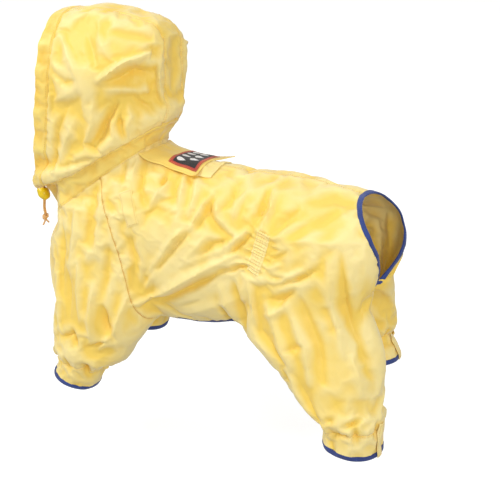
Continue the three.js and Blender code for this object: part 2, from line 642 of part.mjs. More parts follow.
// Gives a set of triangles the thickness of its cloth, its edges drawn back from the seams
function thicken(mesh, triangles, normals, outer, inner) {
  const edgeKey = (a, b) => a * mesh.points.length + b;
  const directed = new Map();
  triangles.forEach((triangle, t) => {
    triangle.forEach((a, i) => directed.set(edgeKey(a, triangle[(i + 1) % 3]), t));
  });
  const fanOf = triangles.map(() => [undefined, undefined, undefined]);
  const made = [];
  const walk = (t, corner, step, id) => {
    let [triangle, at] = [t, corner];
    while (triangle !== undefined && fanOf[triangle][at] === undefined) {
      fanOf[triangle][at] = id;
      const v = triangles[triangle][at];
      const other = triangles[triangle][(at + step) % 3];
      triangle = step === 1 ? directed.get(edgeKey(other, v)) : directed.get(edgeKey(v, other));
      if (triangle !== undefined) at = triangles[triangle].indexOf(v);
    }
  };
  triangles.forEach((triangle, t) => triangle.forEach((v, corner) => {
    if (fanOf[t][corner] !== undefined) return;
    const id = made.length;
    made.push({ v, pull: vector(0, 0, 0), rim: 0 });
    walk(t, corner, 2, id);
    fanOf[t][corner] = undefined;
    walk(t, corner, 1, id);
  }));
  const rims = [];
  triangles.forEach((triangle, t) => triangle.forEach((a, i) => {
    const b = triangle[(i + 1) % 3];
    if (directed.has(edgeKey(b, a))) return;
    rims.push([fanOf[t][i], fanOf[t][(i + 1) % 3]]);
    const along = mesh.points[b].clone().sub(mesh.points[a]);
    const inward = normals[a].clone().add(normals[b]).cross(along).normalize();
    for (const id of rims[rims.length - 1]) {
      made[id].pull.add(inward);
      made[id].rim += 1;
    }
  }));
  const count = made.length;
  const positions = new Float32Array(count * 6);
  made.forEach(({ v, pull, rim }, id) => {
    const p = mesh.points[v].clone();
    if (rim > 0) {
      const size = Math.max(pull.length() / rim, 0.45);
      p.addScaledVector(pull.normalize(), SEAM_PULL / size);
    }
    const lift = foldAt(mesh.points[v], normals[v]);
    p.clone().addScaledVector(normals[v], lift + outer).toArray(positions, id * 3);
    p.addScaledVector(normals[v], lift - inner).toArray(positions, (id + count) * 3);
  });
  const faces = [];
  triangles.forEach((_, t) => {
    const [a, b, c] = fanOf[t];
    faces.push(a, b, c, a + count, c + count, b + count);
  });
  rims.forEach(([a, b]) => faces.push(b, a, a + count, b, a + count, b + count));
  const geometry = new THREE.BufferGeometry();
  geometry.setAttribute('position', new THREE.BufferAttribute(positions, 3));
  geometry.setIndex(faces);
  return geometry;
}

// A closed plate whose inner and outer faces lie over a grid of points with their normals
function plate(grid, lift, wall) {
  const [rows, columns] = [grid.length, grid[0].length];
  const count = rows * columns;
  const positions = [];
  for (const height of [lift + wall, lift]) {
    for (const row of grid) {
      for (const cell of row) {
        const p = cell.point.clone().addScaledVector(cell.normal, height + (cell.rise ?? 0));
        positions.push(p.x, p.y, p.z);
      }
    }
  }
  const faces = [];
  const ahead = grid[1][0].point.clone().sub(grid[0][0].point);
  const aside = grid[0][1].point.clone().sub(grid[0][0].point);
  const facesOut = ahead.cross(aside).dot(grid[0][0].normal) > 0;
  const quad = (a, b, c, d) => faces.push(...(facesOut ? [a, b, c, a, c, d] : [c, b, a, d, c, a]));
  const at = (i, j) => i * columns + j;
  for (let i = 0; i + 1 < rows; i += 1) {
    for (let j = 0; j + 1 < columns; j += 1) {
      quad(at(i, j), at(i + 1, j), at(i + 1, j + 1), at(i, j + 1));
      quad(at(i, j) + count, at(i, j + 1) + count, at(i + 1, j + 1) + count, at(i + 1, j) + count);
    }
  }
  const rim = [];
  for (let j = 0; j + 1 < columns; j += 1) rim.push(at(0, j));
  for (let i = 0; i + 1 < rows; i += 1) rim.push(at(i, columns - 1));
  for (let j = columns - 1; j > 0; j -= 1) rim.push(at(rows - 1, j));
  for (let i = rows - 1; i > 0; i -= 1) rim.push(at(i, 0));
  rim.forEach((a, i) => {
    const b = rim[(i + 1) % rim.length];
    quad(a, b, b + count, a + count);
  });
  const geometry = new THREE.BufferGeometry();
  geometry.setAttribute('position', new THREE.Float32BufferAttribute(positions, 3));
  geometry.setIndex(faces);
  return geometry;
}

// Where a straight line first meets one of the meshes named
function meet(names, origin, direction) {
  const ray = new THREE.Ray(origin, direction);
  const [a, b, c, hit] = [vector(0, 0, 0), vector(0, 0, 0), vector(0, 0, 0), vector(0, 0, 0)];
  let nearest = Infinity;
  let point = null;
  for (const name of names) {
    const { attributes, index } = coat.getObjectByName(name).geometry;
    for (let i = 0; i < index.count; i += 3) {
      a.fromBufferAttribute(attributes.position, index.getX(i));
      b.fromBufferAttribute(attributes.position, index.getX(i + 1));
      c.fromBufferAttribute(attributes.position, index.getX(i + 2));
      if (ray.intersectTriangle(a, b, c, false, hit) && hit.distanceTo(origin) < nearest) {
        nearest = hit.distanceTo(origin);
        point = hit.clone();
      }
    }
  }
  return point;
}

// Evenly spaced values from one end to the other
function spread(from, to, steps) {
  return Array.from({ length: steps + 1 }, (_, i) => from + ((to - from) * i) / steps);
}

const coat = new THREE.Group();

function addMesh(name, geometry, material) {
  const mesh = new THREE.Mesh(geometry, material);
  mesh.name = name;
  coat.add(mesh);
}

// Panels
const form = meshForm(vector(-352, -124, -380), vector(230, 124, 214));
evenOut(form, ROUNDS);
cutSeams(form);
const normals = form.points.map((p) => outwards(p));
const panels = panelsOf(form);
for (const [name, triangles] of [...panels].sort((a, b) => a[0].localeCompare(b[0]))) {
  const tape = name.endsWith('tape');
  const band = name === 'neck_band' || name === 'hood_casing';
  const wall = tape ? TAPE_WALL : band ? BAND_WALL : WALL;
  const outer = (wall - WALL) / 2;
  const colour = tape ? TAPE_BLUE : band ? BAND_YELLOW : COAT_YELLOW;
  addMesh(name, thicken(form, triangles, normals, outer, wall - outer), materialOf(colour));
}

// What lies on the back, from below upwards
const up = vector(0, 0, 1);
const down = vector(0, 0, -1);
const backCloth = ['body_left', 'body_right'];

// How far forward the back's cloth reaches at a place across it
function neckSeamAt(y) {
  let x = UNDERLAY.front + 9;
  while (meet(backCloth, vector(x - 1, y, OVER), down)) x -= 1;
  return x;
}

function backGrid(names, front, rear, half, stand, long) {
  return spread(-half, half, 9).map((y) => spread(0, 1, long).map((share) => {
    const start = front ?? neckSeamAt(y) + FLAP.clear;
    const x = start + (rear - start) * share;
    const point = meet(names, vector(x, y, OVER), down);
    return { point, normal: up, rise: stand * (y / half) ** 2 };
  }));
}
const underlay = backGrid(backCloth, UNDERLAY.front, UNDERLAY.rear, UNDERLAY.half, 0, 5);
addMesh('flap_underlay', plate(underlay, UNDERLAY.lift, UNDERLAY.wall), materialOf(COAT_YELLOW));
const flap = backGrid(backCloth, null, FLAP.rear, FLAP.half, FLAP.stand, 7);
addMesh('back_flap', plate(flap, FLAP.lift, FLAP.wall), materialOf(COAT_YELLOW));
const label = backGrid(['back_flap'], LABEL.front, LABEL.rear, LABEL.half, 0, 4);
addMesh('flap_label', plate(label, LABEL.lift, LABEL.wall), materialOf(LABEL_RED));

// What lies on the sides
function sideGrid(names, piece, side, long, wide) {
  const turn = THREE.MathUtils.degToRad(piece.turn);
  return spread(-piece.long / 2, piece.long / 2, long).map((u) => (
    spread(-piece.wide / 2, piece.wide / 2, wide).map((v) => {
      const x = piece.x - u * Math.sin(turn) + v * Math.cos(turn) * -side;
      const z = piece.z + u * Math.cos(turn) + v * Math.sin(turn) * -side;
      const point = meet(names, vector(x, side * BESIDE, z), vector(0, -side, 0));
      const phase = (u / piece.long + 0.5) * (piece.pleats ?? 0) * Math.PI * 2;
      const pleat = (piece.rise ?? 0) * (1 - Math.cos(phase));
      return { point, normal: outwards(point), rise: pleat * (1 - Math.abs(v / piece.wide) * 0.8) };
    })
  ));
}
for (const [word, side] of [['left', -1], ['right', 1]]) {
  const cloth = [`body_${word}`];
  const tab = sideGrid(cloth, SHOULDER_TAB, side, 8, 3);
  const flat = plate(tab, SHOULDER_TAB.lift, SHOULDER_TAB.wall);
  addMesh(`shoulder_tab_${word}`, flat, materialOf(COAT_YELLOW));
  const waist = sideGrid(cloth, WAIST, side, WAIST.pleats * 3, 3);
  addMesh(`waist_gather_${word}`, plate(waist, WAIST.lift, WAIST.wall), materialOf(COAT_YELLOW));
}

// Plackets behind the hind cuffs
for (const leg of LEGS.filter((one) => !one.front)) {
  const word = leg.side < 0 ? 'left' : 'right';
  const cloth = [`body_${word}`, `${leg.name}_cuff`, `${leg.name}_cuff_tape`];
  const top = -leg.gather.depth + PLACKET.above;
  const bottom = -leg.hem.depth + 3;
  const middle = leg.side * (LEG_CENTRE + PLACKET.offset);
  // The rearmost cloth near a place, so that the placket lies over the gathers
  const rearmost = (y, z) => Math.max(...[-3, 0, 3].flatMap((dy) => [-4, 0, 4].map((dz) => (
    meet(cloth, vector(BEHIND, y + dy, z + dz), vector(-1, 0, 0))?.x ?? 0
  ))));
  const grid = spread(bottom, top, 7).map((z, i) => (
    spread(-PLACKET.wide / 2, PLACKET.wide / 2, 3).map((offset) => {
      const y = middle - offset;
      const point = vector(rearmost(y, z), y, i ? z : z - PLACKET.below);
      return { point, normal: vector(1, 0, 0) };
    })
  ));
  addMesh(`hind_placket_${word}`, plate(grid, PLACKET.lift, PLACKET.wall), materialOf(COAT_YELLOW));
}

// Cord lock, cord and knot
const lockPlace = vector(LOCK.x, LOCK.y, LOCK.z);
const tilt = THREE.MathUtils.degToRad(LOCK.tilt);
const lockAxis = vector(-Math.sin(tilt), 0, Math.cos(tilt));

function solidOf(geometry) {
  const merged = mergeVertices(geometry.deleteAttribute('normal').deleteAttribute('uv'), 1e-4);
  return new Manifold(new Mesh({
    numProp: 3,
    vertProperties: new Float32Array(merged.attributes.position.array),
    triVerts: new Uint32Array(merged.index.array),
  }));
}

function geometryOf(solid) {
  const mesh = solid.getMesh();
  const geometry = new THREE.BufferGeometry();
  geometry.setAttribute('position', new THREE.BufferAttribute(mesh.vertProperties, 3));
  geometry.setIndex(new THREE.BufferAttribute(mesh.triVerts, 1));
  return geometry;
}

function lathe(profile, around = 24) {
  return new THREE.LatheGeometry(profile.map(([r, z]) => new THREE.Vector2(r, z)), around);
}

function placed(geometry, axis, place) {
  const turn = new THREE.Quaternion().setFromUnitVectors(vector(0, 1, 0), axis);
  return geometry.applyQuaternion(turn).translate(place.x, place.y, place.z);
}
// Profiles are radius and height along the axis. Cutters run past what they cut.
const reach = LOCK.long / 2;
const egg = [
  [0, -reach], [4.2, -8.4], [6.6, -6], [7.8, -2.5], [LOCK.radius, 0.5], [7.4, 4.5], [6.2, 7.4],
  [5.4, reach], [0, reach],
];
const wide = LOCK.button + 0.3;
const socket = [[0, 3], [wide, 3], [wide, 30], [0, 30]];
const button = [
  [0, 3.4], [LOCK.button, 3.4], [LOCK.button, reach + 2.6], [LOCK.button - 1, reach + 3.6],
  [0, reach + 3.6],
];
const channel = [[0, -40], [LOCK.channel, -40], [LOCK.channel, 40], [0, 40]];
const tunnel = solidOf(placed(lathe(channel, 20), up, lockPlace));
const body = solidOf(placed(lathe(egg), lockAxis, lockPlace));
const hollow = solidOf(placed(lathe(socket), lockAxis, lockPlace));
const barrel = geometryOf(body.subtract(hollow).subtract(tunnel));
addMesh('cord_lock', barrel, materialOf(TOGGLE_YELLOW, LOCK_GLOSS));
const buttonBody = solidOf(placed(lathe(button), lockAxis, lockPlace));
const bored = geometryOf(buttonBody.subtract(tunnel));
addMesh('cord_lock_button', bored, materialOf(TOGGLE_YELLOW, LOCK_GLOSS));

[-1, 1].forEach((side, i) => {
  const y = LOCK.y + side * CORD.apart;
  const path = new THREE.CatmullRomCurve3([
    vector(LOCK.x + 9, y, CORD.top),
    vector(LOCK.x + 2, y, LOCK.z + 13),
    vector(LOCK.x, y, LOCK.z + 6),
    vector(LOCK.x, y, LOCK.z - 8),
    vector(LOCK.x - 1, y, (LOCK.z + CORD.knot) / 2 - 4),
    vector(LOCK.x, y, CORD.knot + 5),
    vector(LOCK.x, y, CORD.knot - 5),
    vector(LOCK.x + side * 2, y + side * CORD.spread, CORD.end + i * 2),
  ]);
  const circle = new THREE.EllipseCurve(0, 0, CORD.radius, CORD.radius);
  const section = new THREE.Shape(circle.getPoints(8).slice(1));
  const tube = new THREE.ExtrudeGeometry(section, { steps: 20, extrudePath: path });
  addMesh(`drawcord_${i + 1}`, tube, materialOf(CORD_PEACH, CORD_GLOSS));
});

const turns = [
  [KNOT.inner, 2.2], [KNOT.inner, -2.2], [3.4, -3.2], [4.4, -2.8], [KNOT.outer, -1.6], [4.5, -0.2],
  [KNOT.outer, 1.4], [4.4, 2.8], [3.4, 3.2], [KNOT.inner, 2.2],
];
const knot = mergeVertices(lathe(turns, 18).deleteAttribute('normal').deleteAttribute('uv'), 1e-4);
const knotPlace = vector(LOCK.x, LOCK.y, CORD.knot);
addMesh('drawcord_knot', placed(knot, up, knotPlace), materialOf(CORD_PEACH, CORD_GLOSS));

export default coat;
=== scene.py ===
import math

import bpy
import numpy as np
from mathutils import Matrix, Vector
from mathutils.bvhtree import BVHTree


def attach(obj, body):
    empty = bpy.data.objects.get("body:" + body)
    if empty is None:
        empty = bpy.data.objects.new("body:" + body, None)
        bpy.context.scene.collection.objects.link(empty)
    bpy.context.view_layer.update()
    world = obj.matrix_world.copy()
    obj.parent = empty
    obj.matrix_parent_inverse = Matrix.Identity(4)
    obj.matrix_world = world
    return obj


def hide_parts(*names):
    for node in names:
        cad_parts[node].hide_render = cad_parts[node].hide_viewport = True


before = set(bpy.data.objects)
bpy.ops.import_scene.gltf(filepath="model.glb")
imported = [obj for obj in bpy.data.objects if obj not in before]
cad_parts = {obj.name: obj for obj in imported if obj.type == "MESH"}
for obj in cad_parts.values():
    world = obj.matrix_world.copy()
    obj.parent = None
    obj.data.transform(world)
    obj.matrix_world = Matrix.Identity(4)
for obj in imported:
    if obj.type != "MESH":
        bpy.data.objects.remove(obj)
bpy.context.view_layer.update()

# Lengths in this script are millimetres, as in the coat's source, until a mesh is made
MM = 0.001

# Camera: the photograph's view from the wearer's left, behind and above
CAMERA_AZIMUTH = math.radians(26)
CAMERA_ELEVATION = math.radians(20)
CAMERA_DISTANCE = 1.4
CAMERA_TARGET = Vector((0, 0, -0.102))
SENSOR = 36
LENS = 77.54


def make_camera():
    back = Vector((
        math.sin(CAMERA_AZIMUTH) * math.cos(CAMERA_ELEVATION),
        -math.cos(CAMERA_AZIMUTH) * math.cos(CAMERA_ELEVATION),
        math.sin(CAMERA_ELEVATION),
    ))
    data = bpy.data.cameras.new("camera")
    data.sensor_width = SENSOR
    data.lens = LENS
    camera = bpy.data.objects.new("camera", data)
    camera.location = CAMERA_TARGET + back * CAMERA_DISTANCE
    camera.rotation_mode = "QUATERNION"
    camera.rotation_quaternion = (-back).to_track_quat("-Z", "Y")
    bpy.context.scene.collection.objects.link(camera)
    bpy.context.scene.camera = camera


make_camera()

# Worn form. Every limb has sections along one direction: place, middle and half size across it in
# the side view, middle and half size along Y.
TORSO = dict(along=(1, 0), across=(0, 1), square=2.5, rows=[
    (-293, -142, 22, 0, 26), (-284, -143, 42, 0, 46), (-264, -142, 58, 0, 62),
    (-230, -133, 76, 0, 74), (-180, -106, 102, 0, 80), (-130, -98, 110, 0, 80),
    (-80, -102, 108, 0, 79), (-30, -102, 105, 0, 78), (0, -99, 100.6, 0, 77),
    (40, -98, 100.5, 0, 77), (75, -96, 99, 0, 77), (110, -92, 91, 0, 76),
    (145, -87, 80, 0, 75), (166, -84, 71, 0, 73), (183, -84, 58, 0, 67), (192, -84, 44, 0, 54),
])
NECK = dict(along=(-0.6, 0.8), across=(0.8, 0.6), square=2.1, rows=[
    (26, -192, 88, 0, 70), (112, -191, 90, 0, 64), (140, -191, 88, 0, 68),
])
HOOD = dict(along=(1, 0), across=(0, 1), square=2.5, rows=[
    (-345, 60, 108, 0, 58), (-300, 62, 122, 0, 66), (-255, 68, 126, 0, 72),
    (-205, 78, 122, 0, 76), (-160, 96, 99, 0, 75), (-130, 112, 78, 0, 66),
    (-112, 120, 62, 0, 52), (-102, 120, 46, 0, 36),
])
LEG = dict(along=(0, -1), across=(1, 0), square=2.1)
# A leg's hem and gather are lines across it: depth at its middle and slope towards the rear
LEGS = [
    dict(LEG, name="front_left", front=True, side=-1, hem=(310, 0.4), gather=(281, 0.1), rows=[
        (62, -200, 52, -42, 34), (142, -191, 73, -56, 40), (197, -190, 74, -60, 42),
        (218, -196, 71, -61, 42), (242, -205, 62, -61, 42), (266, -213, 54, -61, 42),
        (283, -224, 38, -61, 35), (312, -243, 36, -60, 34), (352, -262, 36, -60, 34),
    ]),
    dict(LEG, name="front_right", front=True, side=1, hem=(262, 0.25), gather=(236, 0.1), rows=[
        (62, -198, 52, 42, 34), (132, -192, 70, 56, 40), (180, -193, 65, 60, 42),
        (208, -197, 55, 61, 42), (226, -198, 48, 61, 41), (238, -200, 37, 61, 35),
        (264, -203, 36, 60, 34), (312, -210, 36, 60, 34),
    ]),
    dict(LEG, name="hind_left", front=False, side=-1, hem=(318, 0.05), gather=(288, -0.05), rows=[
        (52, 102, 68, -38, 42), (92, 103, 80, -42, 45), (142, 103, 86, -47, 46),
        (187, 108, 84, -51, 46), (210, 123, 73, -53, 46), (232, 138, 63, -56, 45),
        (254, 151, 54, -58, 44), (274, 165, 45, -60, 43), (290, 172, 37, -61, 37),
        (318, 174, 36, -61, 36), (372, 175, 36, -61, 36),
    ]),
    dict(LEG, name="hind_right", front=False, side=1, hem=(247, 0.05), gather=(216, 0), rows=[
        (52, 102, 68, 38, 42), (86, 107, 77, 42, 45), (132, 115, 73, 48, 46),
        (165, 122, 61, 55, 45), (190, 130, 54, 58, 44), (204, 136, 48, 60, 42),
        (217, 141, 36, 61, 37), (247, 151, 37, 61, 36), (300, 160, 37, 61, 36),
    ]),
]
LEG_CENTRE = 61
BLEND = 26
LIMB_ROOM = 42  # past this distance a limb no longer changes the form
FAR = 60.0
NECK_SLOPE = (-0.6, 0.8)  # the neck's own direction, as x and z
# The band over the neck seam is wider under the chin: by front, from from_x on
NECK_SEAM = dict(at=99.5, band=22.8, lean=0.074, middle=-186, front=9.5, from_x=-218, over=56)
# The hood's cloth is drawn in from the form, most at its rear and over the crown
HOOD_INSET = dict(all=2.2, rear=3.6, crown=1.2, settled=14, rear_x=-165, crown_z=150)
HANG = dict(height=10, reach=13, rise=6, less_at_back=0.45)  # the hood bags over its lower seam
HOLLOW = dict(depth=10, x=-130, z=96, long=42, high=33, lean=0.25)  # at the hood's rear
THROAT = dict(depth=11, x=-250, over=22)  # the band steps back below the casing
# The rear seam sinks between the legs
CLEFT = dict(depth=12, wide=25, top=-84, full=-122, x=140, bottom=-250, fade=60)
# The rear of the legs is tucked in under the tail opening and flares below it
REAR = dict(x=120, over=40, tuck=13, tuck_z=-122, tuck_high=30, flare=11, flare_right=-5,
            flare_z=-195, flare_high=42, clear=15)
FACE = dict(x=-280.5, lean=0.13, bulge=-8, middle=60, height=120, casing=21)
HOOD_STRIP = 21
TAIL = dict(x=120, z=-50, lean=0.5, start=183, up=54, down=91, wide=55, round=2.1, taper=1.4)
BELLY = dict(x=-8, half=100, wide=46, square=3, z=-142)
RAGLAN = [(-217, -100), (-196, -118), (-177, -128), (-129, -141), (-77, -159), (-20, -183), (48, -196)]
CHEST = [(-190, 14), (-130, 38), (-60, 44)]

SHOULDER_TAB = dict(x=-135, z=-46, long=45, wide=19, turn=24, lift=0.3, wall=0.7)
WAIST = dict(x=49, z=-76, long=52, wide=19, turn=-13, pleats=14, rise=0.85, lift=0.2, wall=0.7)

CELL = 5.0
SNAP = 0.28  # a point nearer to a cut than this share of a cell is moved onto it


def column(rows, number, place):
    """A smooth value from a table's column at places along its first one."""
    table = np.array(rows, float)
    places, values = table[:, 0], table[:, number]
    slopes = np.empty(len(places))
    slopes[1:-1] = (values[2:] - values[:-2]) / (places[2:] - places[:-2])
    slopes[0] = (values[1] - values[0]) / (places[1] - places[0])
    slopes[-1] = (values[-1] - values[-2]) / (places[-1] - places[-2])
    i = np.clip(np.searchsorted(places, place, "right") - 1, 0, len(places) - 2)
    span = places[i + 1] - places[i]
    t = np.clip((place - places[i]) / span, 0, 1)
    t2, t3 = t * t, t * t * t
    return (
        (2 * t3 - 3 * t2 + 1) * values[i] + (t3 - 2 * t2 + t) * span * slopes[i]
        + (3 * t2 - 2 * t3) * values[i + 1] + (t3 - t2) * span * slopes[i + 1]
    )


def box_of(limb):
    """The corners of a box round a limb, with room for its blend into the others."""
    rows = np.array(limb["rows"], float)
    along, across = np.array(limb["along"]), np.array(limb["across"])
    low = rows[:, :1] * along + (rows[:, 1:2] - rows[:, 2:3]) * across
    high = rows[:, :1] * along + (rows[:, 1:2] + rows[:, 2:3]) * across
    plane = np.concatenate([low, high])
    wide = (rows[:, 3:4] + rows[:, 4:5] * np.array([[-1, 1]])).ravel()
    least = np.array([plane[:, 0].min(), wide.min(), plane[:, 1].min()])
    most = np.array([plane[:, 0].max(), wide.max(), plane[:, 1].max()])
    return least - LIMB_ROOM, most + LIMB_ROOM


def outside_limb(limb, p):
    at = p[:, 0] * limb["along"][0] + p[:, 2] * limb["along"][1]
    rows = limb["rows"]
    place = np.clip(at, rows[0][0], rows[-1][0])
    over = p[:, 0] * limb["across"][0] + p[:, 2] * limb["across"][1] - column(rows, 1, place)
    sideways = p[:, 1] - column(rows, 3, place)
    reach, wide = column(rows, 2, place), column(rows, 4, place)
    length = np.hypot(over, sideways)
    square = limb["square"]
    share = ((np.abs(over) / reach) ** square + (np.abs(sideways) / wide) ** square) ** (1 / square)
    from_edge = length - length / np.maximum(share, 1e-6)
    radial = np.where(share < 1e-6, -np.minimum(reach, wide), from_edge)
    past = np.maximum(rows[0][0] - at, at - rows[-1][0])
    return np.where(past > 0, np.hypot(np.maximum(radial, 0), past), np.maximum(radial, past))


def blended(a, b):
    h = np.maximum(BLEND - np.abs(a - b), 0) / BLEND
    return np.minimum(a, b) - h * h * BLEND / 4


LIMBS = [(limb, *box_of(limb)) for limb in (TORSO, NECK, *LEGS, HOOD)]


def outside(p):
    value = np.full(len(p), FAR)
    for limb, low, high in LIMBS:
        near = ((p > low) & (p < high)).all(1)
        value[near] = blended(value[near], outside_limb(limb, p[near]))
    return value


TETRAHEDRON = np.array([(1, -1, -1), (-1, -1, 1), (-1, 1, -1), (1, 1, 1)], float)


def gradient(field, p, step=0.5):
    return sum(corner * field(p + corner * step)[:, None] for corner in TETRAHEDRON) / (4 * step)


def unit(v):
    return v / np.maximum(np.linalg.norm(v, axis=-1, keepdims=True), 1e-9)


def onto_form(p):
    for _ in range(3):
        slope = gradient(outside, p)
        p = p - slope * (outside(p) / np.maximum((slope ** 2).sum(1), 0.05))[:, None]
    return p


def outwards(p):
    return unit(gradient(outside, p, 4))


# Seam and edge fields: distances from a line, above zero on the side where the cloth goes on
def depth_below(line, leg, p):
    middle = column(leg["rows"], 1, np.array([float(line[0])]))[0]
    return line[0] + p[:, 2] + line[1] * (p[:, 0] - middle)


def on_leg(leg, p):
    along = p[:, 0] < -110 if leg["front"] else p[:, 0] > 84
    return (np.sign(p[:, 1]) == leg["side"]) & along & (depth_below(leg["gather"], leg, p) < 34)


def neck_height(p):
    return p[:, 0] * NECK_SLOPE[0] + p[:, 2] * NECK_SLOPE[1] - NECK_SEAM["at"]


def above_band(p):
    across = p[:, 0] * NECK_SLOPE[1] - p[:, 2] * NECK_SLOPE[0]
    forward = np.clip((NECK_SEAM["from_x"] - p[:, 0]) / NECK_SEAM["over"], 0, 1.3)
    top = NECK_SEAM["band"] + NECK_SEAM["front"] * forward ** 1.4
    return neck_height(p) - top + NECK_SEAM["lean"] * (across - NECK_SEAM["middle"])


def on_hood(p):
    return above_band(p) > 0


def on_tail(p):
    return (p[:, 0] > TAIL["x"]) & (p[:, 2] > -165)


def on_belly(p):
    high = (p[:, 2] < BELLY["z"]) & (p[:, 2] > -275)
    return high & (np.abs(p[:, 1]) < 66) & (p[:, 0] > -125) & (p[:, 0] < 118)


def face_edge(p):
    up = (p[:, 2] - FACE["middle"]) / FACE["height"]
    return p[:, 0] - FACE["x"] - FACE["lean"] * (p[:, 2] - FACE["middle"]) - FACE["bulge"] * up * up


def tail_share(p):
    above = p[:, 2] - TAIL["lean"] * (p[:, 0] - TAIL["start"]) - TAIL["z"]
    up = above / np.where(above > 0, TAIL["up"], TAIL["down"])
    power = np.where(above > 0, TAIL["round"], TAIL["taper"])
    return (np.abs(p[:, 1] / TAIL["wide"]) ** power + np.abs(up) ** power) ** (1 / power) - 1


def belly_share(p):
    power = BELLY["square"]
    along = np.abs((p[:, 0] - BELLY["x"]) / BELLY["half"]) ** power
    return (along + np.abs(p[:, 1] / BELLY["wide"]) ** power) ** (1 / power) - 1


def along_cloth(field, p):
    """Turns a field into the distance from its zero line, measured along the cloth."""
    slope = gradient(field, p)
    normal = outwards(p)
    slope -= normal * (slope * normal).sum(1)[:, None]
    return np.clip(field(p) / np.maximum(np.linalg.norm(slope, axis=1), 0.002), -60, 60)


def tail_edge(p):
    return along_cloth(tail_share, p)


def belly_edge(p):
    return along_cloth(belly_share, p)


def raglan_edge(p):
    return (p[:, 0] - column(RAGLAN, 1, p[:, 2])) * 0.93


def chest_edge(p):
    return np.abs(p[:, 1]) - column(CHEST, 1, p[:, 2])


PANELS = [
    "hood_casing", "hood_crown_strip", "hood_left", "hood_right", "neck_band", "chest",
    "sleeve_left", "sleeve_right", "body_left", "body_right",
    "front_left_cuff", "front_right_cuff", "hind_left_cuff", "hind_right_cuff",
]
OPEN = -1
TAPE = 5.5  # width of the tape's face


def panel_at(p):
    """The number of the panel that each place belongs to, or OPEN."""
    number = {name: i for i, name in enumerate(PANELS)}
    left = p[:, 1] < 0
    result = np.where(left, number["body_left"], number["body_right"])
    front = raglan_edge(p) < 0
    result = np.where(front, np.where(left, number["sleeve_left"], number["sleeve_right"]), result)
    result = np.where(front & (chest_edge(p) < 0), number["chest"], result)
    result = np.where(on_belly(p) & (belly_edge(p) < 0), OPEN, result)
    result = np.where(on_tail(p) & (tail_edge(p) < 0), OPEN, result)
    for leg in LEGS:
        here = on_leg(leg, p)
        cuff = here & (depth_below(leg["gather"], leg, p) < 0)
        result = np.where(cuff, number[leg["name"] + "_cuff"], result)
        result = np.where(here & (depth_below(leg["hem"], leg, p) < 0), OPEN, result)
    result = np.where(neck_height(p) > 0, number["neck_band"], result)
    hood = on_hood(p)
    result = np.where(hood, np.where(left, number["hood_left"], number["hood_right"]), result)
    result = np.where(hood & (np.abs(p[:, 1]) < HOOD_STRIP), number["hood_crown_strip"], result)
    result = np.where(hood & (face_edge(p) < FACE["casing"]), number["hood_casing"], result)
    return np.where(hood & (face_edge(p) < 0), OPEN, result)


def net(low, high):
    """Meshes the form with one point for each grid cell that its surface crosses."""
    axes = [np.arange(low[a], high[a] + CELL, CELL) for a in range(3)]
    grid = np.stack(np.meshgrid(*axes, indexing="ij"), -1)
    values = outside(grid.reshape(-1, 3)).reshape(grid.shape[:3])
    inside = values < 0
    shape = tuple(n - 1 for n in inside.shape)
    corners = [(i, j, k) for i in (0, 1) for j in (0, 1) for k in (0, 1)]
    count = np.zeros(shape, int)
    for i, j, k in corners:
        count += inside[i:i + shape[0], j:j + shape[1], k:k + shape[2]]
    cells = np.argwhere((count > 0) & (count < 8))
    total, crossings = np.zeros((len(cells), 3)), np.zeros(len(cells))
    for a in corners:
        for b in corners:
            if a < b and sum(abs(m - n) for m, n in zip(a, b)) == 1:
                va = values[tuple((cells + a).T)]
                vb = values[tuple((cells + b).T)]
                cross = (va < 0) != (vb < 0)
                t = np.where(cross, va / np.where(cross, va - vb, 1), 0)[:, None]
                total += (cells + a + t * (np.array(b) - a)) * cross[:, None]
                crossings += cross
    points = onto_form(total / crossings[:, None] * CELL + np.array(low))
    ids = np.full(shape, -1)
    ids[tuple(cells.T)] = np.arange(len(cells))
    quads = []
    for axis in range(3):
        u, v = (axis + 1) % 3, (axis + 2) % 3
        ahead = np.roll(inside, -1, axis)
        edge = np.argwhere(inside != ahead)
        keep = np.all([(edge[:, a] > 0) & (edge[:, a] < shape[a]) for a in range(3)], axis=0)
        edge = edge[keep & (edge[:, axis] < shape[axis])]
        near = []
        for du, dv in ((-1, -1), (0, -1), (0, 0), (-1, 0)):
            cell = edge.copy()
            cell[:, u] += du
            cell[:, v] += dv
            near.append(ids[tuple(cell.T)])
        quad = np.stack(near, 1)
        out = inside[tuple(edge.T)]
        quads.append(np.where(out[:, None], quad, quad[:, ::-1]))
    quads = np.concatenate(quads)
    p = points[quads]
    short = np.linalg.norm(p[:, 0] - p[:, 2], axis=1) < np.linalg.norm(p[:, 1] - p[:, 3], axis=1)
    first = np.where(short[:, None], quads[:, [0, 1, 2]], quads[:, [1, 2, 3]])
    second = np.where(short[:, None], quads[:, [0, 2, 3]], quads[:, [1, 3, 0]])
    return points, np.concatenate([first, second])


def edges_of(triangles):
    pairs = np.concatenate([triangles[:, [0, 1]], triangles[:, [1, 2]], triangles[:, [2, 0]]])
    size = int(pairs.max()) + 1
    keys = np.unique(pairs.min(1) * size + pairs.max(1))
    return np.stack([keys // size, keys % size], 1)


def averaged(values, edges, count):
    """The mean of each point's neighbours."""
    total = np.zeros((count, values.shape[1]))
    number = np.zeros(count)
    for a, b in ((0, 1), (1, 0)):
        for axis in range(values.shape[1]):
            total[:, axis] += np.bincount(edges[:, a], values[edges[:, b], axis], count)
        number += np.bincount(edges[:, a], minlength=count)
    return total / np.maximum(number, 1)[:, None]


